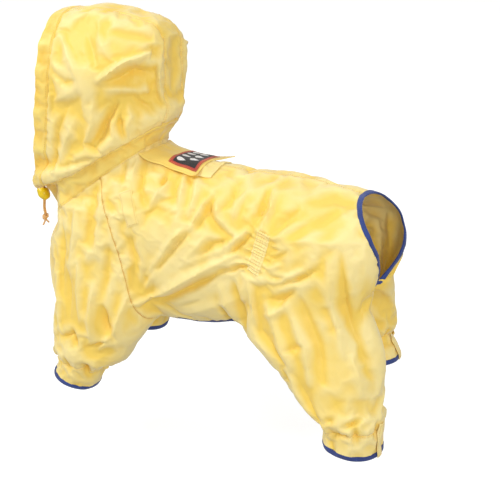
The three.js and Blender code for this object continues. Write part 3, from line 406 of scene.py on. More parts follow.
class Cloth:
    """The coat's surface as one mesh of triangles, cut along its seams."""

    def __init__(self, low, high, rounds):
        self.points, self.triangles = net(low, high)
        edges = edges_of(self.triangles)
        for _ in range(rounds):
            middle = averaged(self.points, edges, len(self.points))
            self.points = onto_form(middle * 0.6 + self.points * 0.4)
        self.locked = np.zeros(len(self.points), bool)

    def cut(self, field, within=None):
        p = self.points
        value = field(p)
        allowed = np.ones(len(p), bool) if within is None else within(p)
        snap = (np.abs(value) < SNAP * CELL) & ~self.locked & allowed
        if snap.any():
            moved = p[snap]
            for last in (False, True):
                slope = gradient(field, moved)
                step = field(moved) / np.maximum((slope ** 2).sum(1), 0.2)
                moved = moved - slope * step[:, None]
                if not last:
                    moved = onto_form(moved)
            p[snap] = moved
            value[snap] = 0
            self.locked[snap] = True
        value[self.locked & (np.abs(value) < 0.09 * CELL)] = 0
        edges = edges_of(self.triangles)
        va, vb = value[edges[:, 0]], value[edges[:, 1]]
        edges = edges[va * vb < 0]
        t = value[edges[:, 0]] / (value[edges[:, 0]] - value[edges[:, 1]])
        new = p[edges[:, 0]] + (p[edges[:, 1]] - p[edges[:, 0]]) * t[:, None]
        if within is not None and len(new):
            keep = within(new)
            edges, new = edges[keep], new[keep]
        if not len(new):
            return
        size = len(p) + len(new)
        keys = edges[:, 0] * size + edges[:, 1]
        order = np.argsort(keys)
        keys = keys[order]

        def split(a, b):
            """The number of the new point on an edge, or -1."""
            key = np.minimum(a, b) * size + np.maximum(a, b)
            at = np.clip(np.searchsorted(keys, key), 0, len(keys) - 1)
            return np.where(keys[at] == key, len(p) + order[at], -1)

        tri = self.triangles
        mids = np.stack([split(tri[:, i], tri[:, (i + 1) % 3]) for i in range(3)], 1)
        cuts = (mids >= 0).sum(1)
        made = [tri[cuts == 0]]
        for i in range(3):
            one = (cuts == 1) & (mids[:, i] >= 0)
            a, b, c = tri[one, i], tri[one, (i + 1) % 3], tri[one, (i + 2) % 3]
            m = mids[one, i]
            made += [np.stack([a, m, c], 1), np.stack([m, b, c], 1)]
            two = (cuts == 2) & (mids[:, i] < 0)
            q, r, s = tri[two, (i + 2) % 3], tri[two, i], tri[two, (i + 1) % 3]
            mq, ms = mids[two, (i + 2) % 3], mids[two, (i + 1) % 3]
            made += [np.stack([q, mq, ms], 1), np.stack([mq, r, s], 1), np.stack([mq, s, ms], 1)]
        self.triangles = np.concatenate(made)
        self.points = np.concatenate([p, new])
        self.locked = np.concatenate([self.locked, np.ones(len(new), bool)])


def cut_seams(cloth):
    cloth.cut(above_band)
    cloth.cut(neck_height)
    cloth.cut(face_edge, on_hood)
    cloth.cut(lambda p: face_edge(p) - FACE["casing"], on_hood)
    for side in (-1, 1):
        cloth.cut(lambda p: p[:, 1] * side - HOOD_STRIP,
                  lambda p: on_hood(p) & (face_edge(p) > FACE["casing"] - 0.5))
    for leg in LEGS:
        cloth.cut(lambda p: depth_below(leg["hem"], leg, p), lambda p: on_leg(leg, p))
        cloth.cut(lambda p: depth_below(leg["gather"], leg, p), lambda p: on_leg(leg, p))
    cloth.cut(tail_edge, on_tail)
    cloth.cut(belly_edge, on_belly)

    def main_cloth(p):
        good = (neck_height(p) < 0) & ~(on_tail(p) & (tail_edge(p) < -0.5))
        good &= ~(on_belly(p) & (belly_edge(p) < -0.5))
        for leg in LEGS:
            good &= ~(on_leg(leg, p) & (depth_below(leg["gather"], leg, p) < 0))
        return good

    cloth.cut(raglan_edge, main_cloth)
    cloth.cut(chest_edge, lambda p: main_cloth(p) & (raglan_edge(p) < 0.5))
    cloth.cut(lambda p: p[:, 1], lambda p: main_cloth(p) & (raglan_edge(p) > -0.5))


# Creases of the visible side, seen from the side as (x, z) points, with reach and rise. Those of
# the other side are alike but not the same.
BODY_CREASES = [
    ([(-126, -173), (-87, -150), (-31, -111), (20, -80)], 11, 6.5),
    ([(-100, -172), (-46, -136), (2, -106)], 12, -6),
    ([(-66, -182), (-20, -160), (34, -136)], 14, 3),
    ([(-65, -169), (-34, -153)], 5, -2),
    ([(-108, -137), (-74, -92), (-47, -62)], 9, -5.5),
    ([(-47, -60), (-35, -31), (-26, -12)], 7, 3.5),
    ([(-38, -58), (-28, -34), (-20, -14)], 8, -3.5),
    ([(-116, -157), (-91, -112), (-58, -66)], 9, 4),
    ([(-100, -120), (-70, -78), (-46, -48)], 8, 2.5),
    ([(-30, -18), (-24, -37), (-10, -52), (10, -59)], 10, -4.5),
    ([(-18, -20), (-12, -38), (4, -48)], 9, 3.5),
    ([(-9, -30), (1, -16), (-1, 0)], 8, -3.5),
    ([(-30, -90), (-15, -72), (10, -61)], 11, -5),
    ([(-52, -100), (-34, -80), (-22, -62)], 8, 2.5),
    ([(-86, -3), (-96, -20), (-106, -37)], 8, 3.5),
    ([(-74, -2), (-68, -15), (-66, -32)], 7, 3.5),
    ([(-54, -2), (-48, -21), (-50, -43)], 9, 3.5),
    ([(-95, -2), (-97, -14)], 7, -4.5),
    ([(-67, -1), (-58, -10)], 6, -4),
    ([(-80, -4), (-76, -31)], 6, -3),
    ([(44, -4), (46, -19), (38, -44)], 9, -5),
    ([(53, -6), (56, -23), (50, -44)], 8, 3.5),
    ([(38, -50), (22, -67), (8, -80)], 6, -4),
    ([(30, -48), (16, -62), (2, -73)], 7, 3.5),
    ([(66, -45), (77, -33), (92, -18)], 10, -4.5),
    ([(72, -52), (88, -40), (104, -28)], 9, 3),
    ([(62, -80), (74, -74), (90, -64)], 6, -3),
    ([(62, -70), (76, -63)], 5, -2.2),
    ([(62, -60), (78, -52)], 5, -2.2),
    ([(60, -88), (72, -86), (84, -80)], 5, 2.2),
    ([(58, -96), (70, -98), (86, -96)], 6, -2),
    ([(84, -106), (100, -98), (130, -80)], 6, -3),
    ([(86, -98), (104, -88), (128, -72)], 8, 2),
    ([(34, -92), (15, -101), (-4, -107)], 6, -3.5),
    ([(32, -84), (16, -92), (0, -98)], 6, 3),
    ([(16, -120), (21, -143), (30, -185)], 13, -5),
    ([(-2, -128), (4, -150), (10, -180)], 11, 3.5),
    ([(-10, -145), (-1, -183)], 5, -2),
    ([(40, -112), (46, -140), (56, -170)], 12, 3.5),
    ([(48, -134), (59, -172), (92, -206)], 13, -4),
    ([(156, -60), (165, -125), (186, -190)], 12, -5.5),
    ([(142, -70), (148, -120), (166, -186)], 12, 3.5),
    ([(172, -186), (192, -238)], 7, 3.5),
    ([(180, -180), (200, -232)], 8, -3.5),
    ([(104, -110), (85, -128), (66, -130)], 12, -5),
    ([(96, -126), (80, -144), (66, -150)], 11, 3),
    ([(97, -188), (117, -179)], 9, -3.5),
    ([(142, -130), (158, -168)], 7, -2.5),
    ([(110, -120), (136, -174), (146, -220)], 11, -4.5),
    ([(94, -130), (118, -180), (130, -226)], 12, 4.5),
    ([(116, -34), (132, -22), (148, -17)], 10, -2.5),
    ([(104, -50), (134, -38)], 9, 2.5),
    ([(100, -10), (130, -8), (160, -14)], 10, -2),
    ([(20, -8), (10, -22), (8, -40)], 9, 3),
    ([(-60, -110), (-30, -92), (0, -76)], 8, 2),
    ([(-130, -70), (-128, -119), (-131, -153)], 9, -2.5),
    ([(-118, -76), (-112, -110), (-120, -148)], 10, 2.5),
    ([(-155, 12), (-151, -22)], 6, -3),
    ([(-142, 8), (-138, -18)], 7, 3),
    ([(-128, 4), (-122, -22), (-112, -40)], 7, -3),
]
LEG_CREASES = {
    "front_left": [
        ([(-168, -177), (-165, -199), (-158, -222)], 12, -7.5),
        ([(-134, -160), (-151, -207), (-178, -243)], 9, 4),
        ([(-182, -150), (-186, -190), (-188, -226)], 12, 4.5),
        ([(-218, -222), (-212, -242)], 7, -6),
        ([(-240, -238), (-216, -225)], 7, -4.5),
        ([(-196, -243), (-160, -225)], 5, -3.5),
        ([(-202, -266), (-206, -300)], 7, -3),
        ([(-184, -262), (-188, -292)], 6, 2),
        ([(-228, -262), (-232, -296)], 7, 2),
        ([(-228, -140), (-226, -174), (-226, -204)], 12, -3.5),
        ([(-206, -120), (-206, -165), (-204, -205)], 11, 3.5),
        ([(-190, -24), (-191, -61), (-194, -100)], 12, -3),
        ([(-176, -30), (-176, -70), (-178, -110)], 10, 2.5),
        ([(-161, -98), (-164, -142), (-169, -170)], 10, -3),
        ([(-216, -60), (-217, -111), (-220, -150)], 13, 3),
        ([(-242, -90), (-240, -130), (-240, -180)], 12, -3),
        ([(-250, -150), (-247, -190), (-246, -226)], 9, 3),
    ],
    "front_right": [
        ([(-234, -104), (-228, -160), (-224, -212)], 13, 4),
        ([(-206, -112), (-202, -165), (-198, -214)], 12, -5),
        ([(-176, -112), (-172, -160), (-170, -206)], 13, 4),
        ([(-152, -120), (-152, -160), (-160, -200)], 10, -4),
        ([(-218, -196), (-206, -222)], 7, -5),
        ([(-186, -190), (-184, -220)], 6, -4),
        ([(-250, -120), (-246, -160)], 10, -3),
    ],
    "hind_left": [
        ([(62, -124), (90, -184), (122, -246)], 15, 5),
        ([(96, -200), (120, -238), (140, -268)], 12, -4.5),
        ([(176, -274), (190, -264)], 7, -5),
        ([(150, -272), (164, -262)], 8, -4),
        ([(155, -292), (177, -286), (193, -280)], 5, -2.5),
        ([(182, -296), (184, -312)], 6, 2),
        ([(156, -298), (158, -316)], 6, -2),
    ],
    "hind_right": [
        ([(66, -112), (90, -154), (110, -196)], 15, 4.5),
        ([(98, -118), (118, -160), (136, -200)], 13, -4.5),
        ([(130, -104), (150, -150), (162, -196)], 14, 4),
        ([(150, -180), (162, -196)], 8, -6),
        ([(164, -168), (158, -206)], 8, 4),
        ([(128, -196), (132, -212)], 7, -4),
        ([(140, -222), (146, -242)], 6, 2),
    ],
}
HOOD_CREASES = [
    ([(-162, 112), (-130, 128), (-104, 122)], 15, -9),
    ([(-172, 114), (-138, 137), (-112, 148)], 12, 7.5),
    ([(-166, 103), (-134, 103), (-106, 98)], 12, 4),
    ([(-110, 158), (-104, 140)], 7, -4),
    ([(-152, 84), (-169, 58), (-186, 26)], 12, -8),
    ([(-182, 84), (-186, 57), (-200, 30)], 11, 3.5),
    ([(-149, 66), (-147, 40)], 7, -6),
    ([(-138, 80), (-134, 68), (-142, 56)], 9, 4.5),
    ([(-160, 62), (-158, 42)], 6, 3),
    ([(-198, 32), (-177, 20)], 6, -4),
    ([(-198, 94), (-217, 80), (-242, 66)], 9, -1.6),
    ([(-206, 102), (-226, 90), (-250, 80)], 9, 1.4),
    ([(-237, 160), (-208, 125), (-196, 95)], 14, 3),
    ([(-248, 120), (-226, 108), (-206, 112)], 11, -3),
    ([(-160, 176), (-130, 174), (-108, 164)], 10, -2.5),
    ([(-210, 64), (-228, 33), (-242, 2)], 11, 3.5),
    ([(-226, 74), (-242, 44), (-250, 10)], 10, -3.5),
    ([(-126, 88), (-115, 76), (-110, 64)], 8, -3),
    ([(-118, 112), (-112, 96)], 8, 3),
    ([(-244, -6), (-216, 4), (-190, 14)], 8, -4),
    ([(-252, 60), (-246, 90), (-252, 130)], 9, -2.5),
    ([(-258, -10), (-250, 12)], 7, -3),
    ([(-200, 168), (-180, 140)], 12, -3),
    ([(-184, 172), (-160, 146)], 12, 2.5),
]
CASING_CREASES = [
    (-278, 150, 2), (-274, 118, 1.6), (-284, 92, -1.6), (-282, 62, 1.8), (-282, 34, -2),
    (-276, 12, 2), (-266, -8, -2.4), (-262, -24, 2), (-262, 172, -2),
]
CASING_CREASE = (14, 7)  # half length and half width

CREST = 0.11  # roundness of a crease's crest, as a share of its reach
CREASE_SIZE = 1.35


def crease_rise(p, creases, side, weight):
    """How far creases lift or sink the cloth at places on one side."""
    rise = np.zeros(len(p))
    here = (np.sign(p[:, 1]) == side) & (weight > 0)
    q = p[here][:, [0, 2]]
    total = np.zeros(len(q))
    for line, reach, height in creases:
        line = np.array(line, float)
        lengths = np.linalg.norm(np.diff(line, axis=0), axis=1)
        whole = lengths.sum()
        best = np.full(len(q), np.inf)
        along = np.zeros(len(q))
        start = 0.0
        for a, b, length in zip(line[:-1], line[1:], lengths):
            t = np.clip(((q - a) @ (b - a)) / length ** 2, 0, 1)
            away = np.linalg.norm(q - a - t[:, None] * (b - a), axis=1)
            closer = away < best
            best = np.where(closer, away, best)
            along = np.where(closer, (start + t * length) / whole, along)
            start += length
        taper = np.sin(np.pi * np.clip(0.1 + 0.8 * along, 0, 1))
        reaching = reach * (0.55 + 0.45 * taper)
        share = np.hypot(best / reaching, CREST)
        total += CREASE_SIZE * height * taper * np.clip(1 + CREST - share, 0, 1) ** 2
    rise[here] = total
    return rise * weight


def noise(p, scale, seed):
    """Smooth, repeatable ripples from a few slanted waves, about -1 to 1."""
    rng = np.random.RandomState(seed)
    total = np.zeros(len(p))
    for _ in range(7):
        direction = unit(rng.normal(size=3))
        phase = rng.uniform(0, 2 * np.pi)
        stretch = rng.uniform(0.7, 1.5)
        bend = np.sin(p @ unit(rng.normal(size=3)) / scale * 1.7 + phase)
        total += np.sin(p @ direction / scale * 2 * np.pi * stretch + phase + 1.1 * bend)
    return total / 4.5


def crumple(p, scale, seed):
    """Scattered short sharp creases: ridges of warped waves that come and go."""
    rng = np.random.RandomState(seed)
    total = np.zeros(len(p))
    for number in range(6):
        direction = unit(rng.normal(size=3) * np.array([1, 0.4, 1]))
        place = p @ direction / (scale * rng.uniform(0.8, 1.6))
        place += 0.55 * noise(p, scale * 2.6, seed * 10 + number)
        shown = np.clip(noise(p, scale * 1.7, seed * 10 + 70 + number) * 1.6 - 0.25, 0, 1)
        ridge = (1 - np.abs(np.sin(np.pi * place))) ** 2.5
        total += (1 if number % 2 else -1) * ridge * shown
    return total


# Pleats beside the waist elastic: two pitches that mix, how far they fan out and run, and how far
# the elastic itself draws the cloth in
PLEATS = dict(height=1.25, pitch=8.6, second=5.3, fan=60, run=15, sunk=1.6, sunk_wide=13)


def waist_rise(p):
    """Small pleats that run out of the gathered waist on both sides of its elastic."""
    turn = math.radians(WAIST["turn"])
    half_long, half_wide = WAIST["long"] / 2, WAIST["wide"] / 2
    x, z = p[:, 0] - WAIST["x"], p[:, 2] - WAIST["z"]
    side = np.sign(p[:, 1])
    u = -x * math.sin(turn) + z * math.cos(turn)
    v = np.abs(x * math.cos(turn) + z * math.sin(turn))
    past = np.clip(v - half_wide, 0, None)
    fanned = u / (1 + past / PLEATS["fan"])
    wave = np.cos(2 * np.pi * fanned / PLEATS["pitch"] + side)
    wave += 0.5 * np.cos(2 * np.pi * fanned / PLEATS["second"] + 2 * side)
    ends = np.clip((half_long + 4 - np.abs(fanned)) / 6, 0, 1)
    near = np.where(v < half_wide, 0.3, np.exp(-(past / PLEATS["run"]) ** 2))
    sunk = PLEATS["sunk"] * np.exp(-(v / PLEATS["sunk_wide"]) ** 2)
    sunk *= np.clip((half_long + 8 - np.abs(u)) / 12, 0, 1)
    here = (np.abs(u) < 40) & (v < 50) & (np.abs(p[:, 1]) > 40)
    return np.where(here, PLEATS["height"] * wave * ends * near - sunk, 0)


# Gathers at the top of a cuff: their height and how far they run up and down, and the groove of
# the elastic
GATHER = dict(height=2.6, up=20, down=9, groove=1.6, groove_high=2.6)


def gather_rise(p):
    """Gathers where each leg runs into its cuff."""
    rise = np.zeros(len(p))
    for number, leg in enumerate(LEGS):
        here = on_leg(leg, p)
        height = depth_below(leg["gather"], leg, p)
        share = height / np.where(height > 0, GATHER["up"], GATHER["down"])
        centre = column(leg["rows"], 1, np.array([float(leg["gather"][0])]))[0]
        turn = np.arctan2(p[:, 1] - leg["side"] * LEG_CENTRE, p[:, 0] - centre)
        wave = np.cos(9 * turn) + 0.55 * np.cos(16 * turn + number)
        wave += 0.4 * np.cos(23 * turn + 2 * number)
        rise += here * GATHER["height"] * (wave - 0.35) * np.exp(-share ** 2 * 1.6)
        rise -= here * GATHER["groove"] * np.exp(-(height / GATHER["groove_high"]) ** 2)
    return rise


def fade(value, over):
    """0 at zero, rising to 1 over a length."""
    return np.clip(value / over, 0, 1)


def bell(value, reach):
    return np.exp(-(value / reach) ** 2)


def hood_rise(p, facing, hood):
    """How the hood bags, settles and sinks against the plain form, and the band below it."""
    over_band = above_band(p)
    at_back = fade(p[:, 0] - HOOD_INSET["rear_x"], 50)
    hang = np.clip((over_band - HANG["height"]) / HANG["reach"], -1, 1)
    bag = HANG["rise"] * (1 - HANG["less_at_back"] * at_back)
    bag *= np.where(hang < 0, 1 - hang * hang, (1 - hang * hang) ** 2)
    rise = np.where(face_edge(p) > 0, bag, 0)
    rise -= fade(over_band, HOOD_INSET["settled"]) * (
        HOOD_INSET["all"] + HOOD_INSET["rear"] * at_back
        + HOOD_INSET["crown"] * fade(p[:, 2] - HOOD_INSET["crown_z"], 20)
    )
    x = p[:, 0] - HOLLOW["x"]
    z = p[:, 2] - HOLLOW["z"] - x * HOLLOW["lean"]
    hollow = (x / HOLLOW["long"]) ** 2 + (z / HOLLOW["high"]) ** 2
    rise -= HOLLOW["depth"] * np.exp(-hollow ** 1.5) * hood * facing
    throat = fade(-over_band, 4) * fade(neck_height(p), 24) ** 0.7
    return rise - THROAT["depth"] * throat * fade(THROAT["x"] - p[:, 0], THROAT["over"])


def rear_rise(p, normal):
    """How the rear of the trouser legs and the seam between them differ from the plain form."""
    across = np.abs(p[:, 1])
    cleft = CLEFT["depth"] * bell(across, CLEFT["wide"]) * (p[:, 0] > CLEFT["x"])
    cleft *= fade(CLEFT["top"] - p[:, 2], CLEFT["top"] - CLEFT["full"])
    cleft *= fade(p[:, 2] - CLEFT["bottom"], CLEFT["fade"])
    backwards = fade(p[:, 0] - REAR["x"], REAR["over"]) * np.clip(normal[:, 0], 0, 1)
    tuck = REAR["tuck"] * bell(p[:, 2] - REAR["tuck_z"], REAR["tuck_high"])
    flare = np.where(p[:, 1] < -REAR["clear"], REAR["flare"], REAR["flare_right"])
    flare = flare * bell(p[:, 2] - REAR["flare_z"], REAR["flare_high"]) * fade(across - REAR["clear"], 20)
    return backwards * (flare - tuck) - cleft


# The right side's creases are the left's, moved and a little lower: side, shift and share
SIDES = [(-1, (0, 0, 0), 1.0), (1, (5, 0, 3), 0.85)]
# Waves and small creases all over: size, seed, height everywhere and more of it over the shoulder
# and the waist, which are busier
RIPPLE = dict(scale=60, seed=3, height=0.9)
CRUMPLES = [dict(scale=34, seed=5, height=0.75, busy=1.0), dict(scale=17, seed=9, height=0.2, busy=0.8)]
BUSY = dict(bottom=-150, front=-215, rear=95, fade=60)
CALM_EDGE = dict(reach=12, least=0.15)  # creases fade towards the tail and belly openings


def fold_rise(p, normal):
    """How far the worn cloth rises from the plain form, for everything but its draping."""
    facing = fade(np.abs(normal[:, 1]) - 0.12, 0.4)
    hood = on_hood(p)
    behind = fade(face_edge(p) - FACE["casing"], 8)
    body = fade(-neck_height(p), 8) * ~hood
    for here, edge in ((on_tail(p), tail_edge(p)), (on_belly(p), belly_edge(p))):
        body *= np.where(here, np.clip(edge / CALM_EDGE["reach"], CALM_EDGE["least"], 1), 1)
    hood_sides = hood * behind * fade(above_band(p), 6)
    rise = hood_rise(p, facing, hood) + rear_rise(p, normal) + gather_rise(p)
    for side, shift, share in SIDES:
        q = p - np.array(shift, float)
        rise += crease_rise(q, BODY_CREASES, side, facing * body) * share
        rise += crease_rise(q, HOOD_CREASES, side, facing * hood_sides) * share
    for leg in LEGS:
        rise += crease_rise(p, LEG_CREASES[leg["name"]], leg["side"], facing * body)
    for x, z, height in CASING_CREASES:
        away = ((p[:, 0] - x) / CASING_CREASE[0]) ** 2 + ((p[:, 2] - z) / CASING_CREASE[1]) ** 2
        rise += height * np.exp(-away) * hood * (behind < 1)
    busy = fade(p[:, 2] - BUSY["bottom"], BUSY["fade"]) * fade(BUSY["rear"] - p[:, 0], BUSY["fade"])
    busy *= fade(p[:, 0] - BUSY["front"], BUSY["fade"]) * ~hood
    small = RIPPLE["height"] * noise(p, RIPPLE["scale"], RIPPLE["seed"])
    for part in CRUMPLES:
        small += (part["height"] + part["busy"] * busy) * crumple(p, part["scale"], part["seed"])
    return rise + small * np.clip(body + hood_sides, 0, 1) + waist_rise(p)


cloth = Cloth((-352, -124, -380), (230, 124, 214), 6)
cut_seams(cloth)
centres = cloth.points[cloth.triangles].mean(1)
names = panel_at(centres)


def merge_strays(triangles, names):
    """Gives a few triangles that were cut off from their panel to the one around them."""
    owner = {}
    for t, (a, b, c) in enumerate(triangles.tolist()):
        for pair in ((a, b), (b, c), (c, a)):
            owner[pair] = t
    around = [
        [owner.get((b, a)) for a, b in ((a, b), (b, c), (c, a))] for a, b, c in triangles.tolist()
    ]
    seen = np.zeros(len(triangles), bool)
    groups = []
    for start in range(len(triangles)):
        if seen[start]:
            continue
        group, seen[start] = [start], True
        for t in group:
            for other in around[t]:
                if other is not None and not seen[other] and names[other] == names[start]:
                    seen[other] = True
                    group.append(other)
        groups.append(group)
    largest = {}
    for group in groups:
        name = names[group[0]]
        largest[name] = max(largest.get(name, 0), len(group))
    for group in groups:
        name = names[group[0]]
        if len(group) == largest[name] or (name == OPEN and len(group) > 40):
            continue
        votes = [names[o] for t in group for o in around[t] if o is not None and names[o] != name]
        if votes:
            names[group] = np.bincount(np.array(votes) + 1).argmax() - 1
    return names


names = merge_strays(cloth.triangles, names)
form = cloth.points
normals = outwards(form)
coarse_rise = fold_rise(form, normals)

# Seams, hems and openings: the edges where two panels meet or a panel ends
kept = names != OPEN
triangles, names = cloth.triangles[kept], names[kept]


def seam_edges(triangles, names):
    """Edges between two panels, or of one panel at an opening, as {pair of panels: [edges]}."""
    found = {}
    directed = {}
    for (a, b, c), name in zip(triangles.tolist(), names.tolist()):
        for pair in ((a, b), (b, c), (c, a)):
            directed[pair] = name
    for (a, b), name in directed.items():
        other = directed.get((b, a), OPEN)
        if other != name and (name < other or other == OPEN):
            found.setdefault((name, other), []).append((a, b))
    return found


seams = seam_edges(triangles, names)


def chains(edges):
    """Joins edges into lines of point numbers, in the order of their direction."""
    after = {}
    for a, b in edges:
        after.setdefault(a, []).append(b)
    ends = {b for _, b in edges}
    starts = [a for a, _ in edges if a not in ends]
    lines = []
    left = len(edges)
    while left:
        start = starts.pop(0) if starts else next(a for a, bs in after.items() if bs)
        line = [start]
        while after.get(line[-1]):
            line.append(after[line[-1]].pop(0))
            left -= 1
            if line[-1] == start:
                break
        if len(line) > 1:
            lines.append(line)
        starts = [s for s in starts if after.get(s)]
    return lines


number_of = {name: i for i, name in enumerate(PANELS)}


def seam_lines(one, other):
    """Every line where two panels meet, or where the first ends at an opening."""
    a = number_of[one]
    b = OPEN if other is None else number_of[other]
    edges = seams.get((a, b), []) or [(q, p) for p, q in seams.get((b, a), [])]
    return chains(edges)


# The cloth is drawn in a little along every seam, and puckers beside it
rim = np.zeros(len(form), bool)
for (one, other), edges in seams.items():
    if other != OPEN:
        rim[np.unique(edges)] = True
all_edges = edges_of(triangles)


def seam_rise(on_seam, edges):
    """Seams are drawn in a little, with puckers beside them."""
    near = on_seam[:, None].copy()
    for _ in range(3):
        near = np.maximum(near * 0.999, averaged(near, edges, len(near)))
    puckers = noise(form, 11, 21)
    return -1.3 * on_seam ** 3 - 0.9 * np.clip(near[:, 0], 0, 1) * puckers


coarse_rise += seam_rise(rim.astype(float), all_edges)
surface = form + normals * coarse_rise[:, None]


def mesh_object(name, points, faces, smooth=True):
    mesh = bpy.data.meshes.new(name)
    mesh.from_pydata((np.asarray(points) * MM).tolist(), [], [list(map(int, f)) for f in faces])
    mesh.polygons.foreach_set("use_smooth", [smooth] * len(mesh.polygons))
    mesh.update()
    obj = bpy.data.objects.new(name, mesh)
    bpy.context.scene.collection.objects.link(obj)
    return obj


def only(obj):
    bpy.ops.object.select_all(action="DESELECT")
    obj.select_set(True)
    bpy.context.view_layer.objects.active = obj


def apply_all(obj):
    only(obj)
    for modifier in list(obj.modifiers):
        bpy.ops.object.modifier_apply(modifier=modifier.name)


# How firmly seams, hems and the rest are held while the cloth drapes, how much it would like to
# shrink (below zero: grow), and the farthest that a place may move
DRAPE = dict(frames=18, seam=0.9, hem=1, least=0.03, shrink=-0.035, cap=4.5)


def drape(points):
    """Lets the whole cloth buckle and sag a little between its seams and hems."""
    used = np.unique(triangles)
    place = np.full(len(points), -1)
    place[used] = np.arange(len(used))
    obj = mesh_object("draping", points[used], place[triangles])
    held = np.where(rim, DRAPE["seam"], 0.0)
    for (one, other), edges in seams.items():
        if other == OPEN:
            held[np.unique(edges)] = DRAPE["hem"]
    hold = held[:, None].copy()
    for _ in range(2):
        hold = np.maximum(hold, averaged(hold, all_edges, len(points)))
    hold = np.clip(hold[:, 0], DRAPE["least"], 1)
    group = obj.vertex_groups.new(name="held")
    for i, v in enumerate(used):
        group.add([i], float(hold[v]), "REPLACE")
    cloth_modifier = obj.modifiers.new("cloth", "CLOTH")
    settings = cloth_modifier.settings
    settings.quality = 4
    settings.mass = 0.12
    settings.tension_stiffness = 18
    settings.compression_stiffness = 18
    settings.shear_stiffness = 6
    settings.bending_stiffness = 0.6
    settings.vertex_group_mass = "held"
    settings.pin_stiffness = 1.4
    settings.shrink_min = DRAPE["shrink"]
    settings.effector_weights.gravity = 0.25
    cloth_modifier.collision_settings.use_collision = False
    scene = bpy.context.scene
    scene.frame_start, scene.frame_end = 1, DRAPE["frames"]
    for number in range(1, DRAPE["frames"] + 1):
        scene.frame_set(number)
    evaluated = obj.evaluated_get(bpy.context.evaluated_depsgraph_get())
    result = np.empty(len(used) * 3)
    evaluated.data.vertices.foreach_get("co", result)
    scene.frame_set(1)
    bpy.data.objects.remove(obj)
    moved = result.reshape(-1, 3) / MM - points[used]
    far = np.linalg.norm(moved, axis=1)
    moved *= (DRAPE["cap"] * np.tanh(far / DRAPE["cap"]) / np.maximum(far, 1e-9))[:, None]
    points = points.copy()
    points[used] += moved
    return points


def finer(points, triangles, names, values):
    """Splits every triangle into four. values are carried to the new points."""
    edges = edges_of(triangles)
    size = len(points)
    keys = edges[:, 0] * size + edges[:, 1]

    def middle(i, j):
        a, b = triangles[:, i], triangles[:, j]
        return size + np.searchsorted(keys, np.minimum(a, b) * size + np.maximum(a, b))

    ab, bc, ca = middle(0, 1), middle(1, 2), middle(2, 0)
    a, b, c = triangles.T
    split = np.concatenate([
        np.stack(corners, 1) for corners in ((a, ab, ca), (ab, b, bc), (ca, bc, c), (ab, bc, ca))
    ])
    grown = [np.concatenate([v, (v[edges[:, 0]] + v[edges[:, 1]]) / 2]) for v in (points, *values)]
    return grown[0], split, np.tile(names, 4), grown[1:]


surface = drape(surface)
shift = surface - form - normals * coarse_rise[:, None]
form, triangles, names, (shift, soft_rim) = finer(
    form, triangles, names, (shift, rim.astype(float)[:, None]))
seams = seam_edges(triangles, names)
inner_points = np.zeros(len(form), bool)
inner_points[np.unique(triangles)] = True
inner_points &= soft_rim[:, 0] < 0.01
for _ in range(2):
    form[inner_points] = onto_form(form[inner_points])
normals = outwards(form)
all_edges = edges_of(triangles)
middle_shift = averaged(shift, all_edges, len(form))
shift = shift * 0.5 + middle_shift * 0.5
fine_rise = fold_rise(form, normals)
surface = form + shift + normals * (fine_rise + seam_rise(soft_rim[:, 0], all_edges))[:, None]

# Painted crease shade: the cloth's colour is darkened where it lies in a crease, lower than the cloth
# around it, and low against the form, in place of the shade that falls there
CREASE_SHADE = dict(base=0.35, below_around=3.2, below_form=16, rounds=30)
height = fine_rise[:, None] + (shift * normals).sum(1)[:, None]
around = height.copy()
for _ in range(CREASE_SHADE["rounds"]):
    around = averaged(around, all_edges, len(form))
painted_crease_shade = CREASE_SHADE["base"] - (height - around) / CREASE_SHADE["below_around"] - (height + 1) / CREASE_SHADE["below_form"]
painted_crease_shade = np.clip(painted_crease_shade, 0, 1)
for _ in range(2):
    painted_crease_shade = averaged(painted_crease_shade, all_edges, len(form))
painted_crease_shade = painted_crease_shade[:, 0]


# Materials
# The cloth's colour runs from its light colour to a darker orange one: at random with its cloudy tone,
# and as painted shade in creases
CLOTH_LIGHT = (0.97, 0.785, 0.33, 1)
CLOTH_DARK_TONE_AND_SHADE = (0.95, 0.665, 0.125, 1)


def add_group(name, inputs, outputs):
    group = bpy.data.node_groups.new(name, "ShaderNodeTree")
    for label, kind, value in inputs:
        socket = group.interface.new_socket(label, in_out="INPUT", socket_type=kind)
        socket.default_value = value
    for label, kind in outputs:
        group.interface.new_socket(label, in_out="OUTPUT", socket_type=kind)
    return group, group.nodes.new("NodeGroupInput"), group.nodes.new("NodeGroupOutput")


def math_node(tree, operation, a, b=None):
    node = tree.nodes.new("ShaderNodeMath")
    node.operation = operation
    for socket, value in zip(node.inputs, (a, b)):
        if value is None:
            continue
        if isinstance(value, (int, float)):
            socket.default_value = value
        else:
            tree.links.new(value, socket)
    return node.outputs[0]


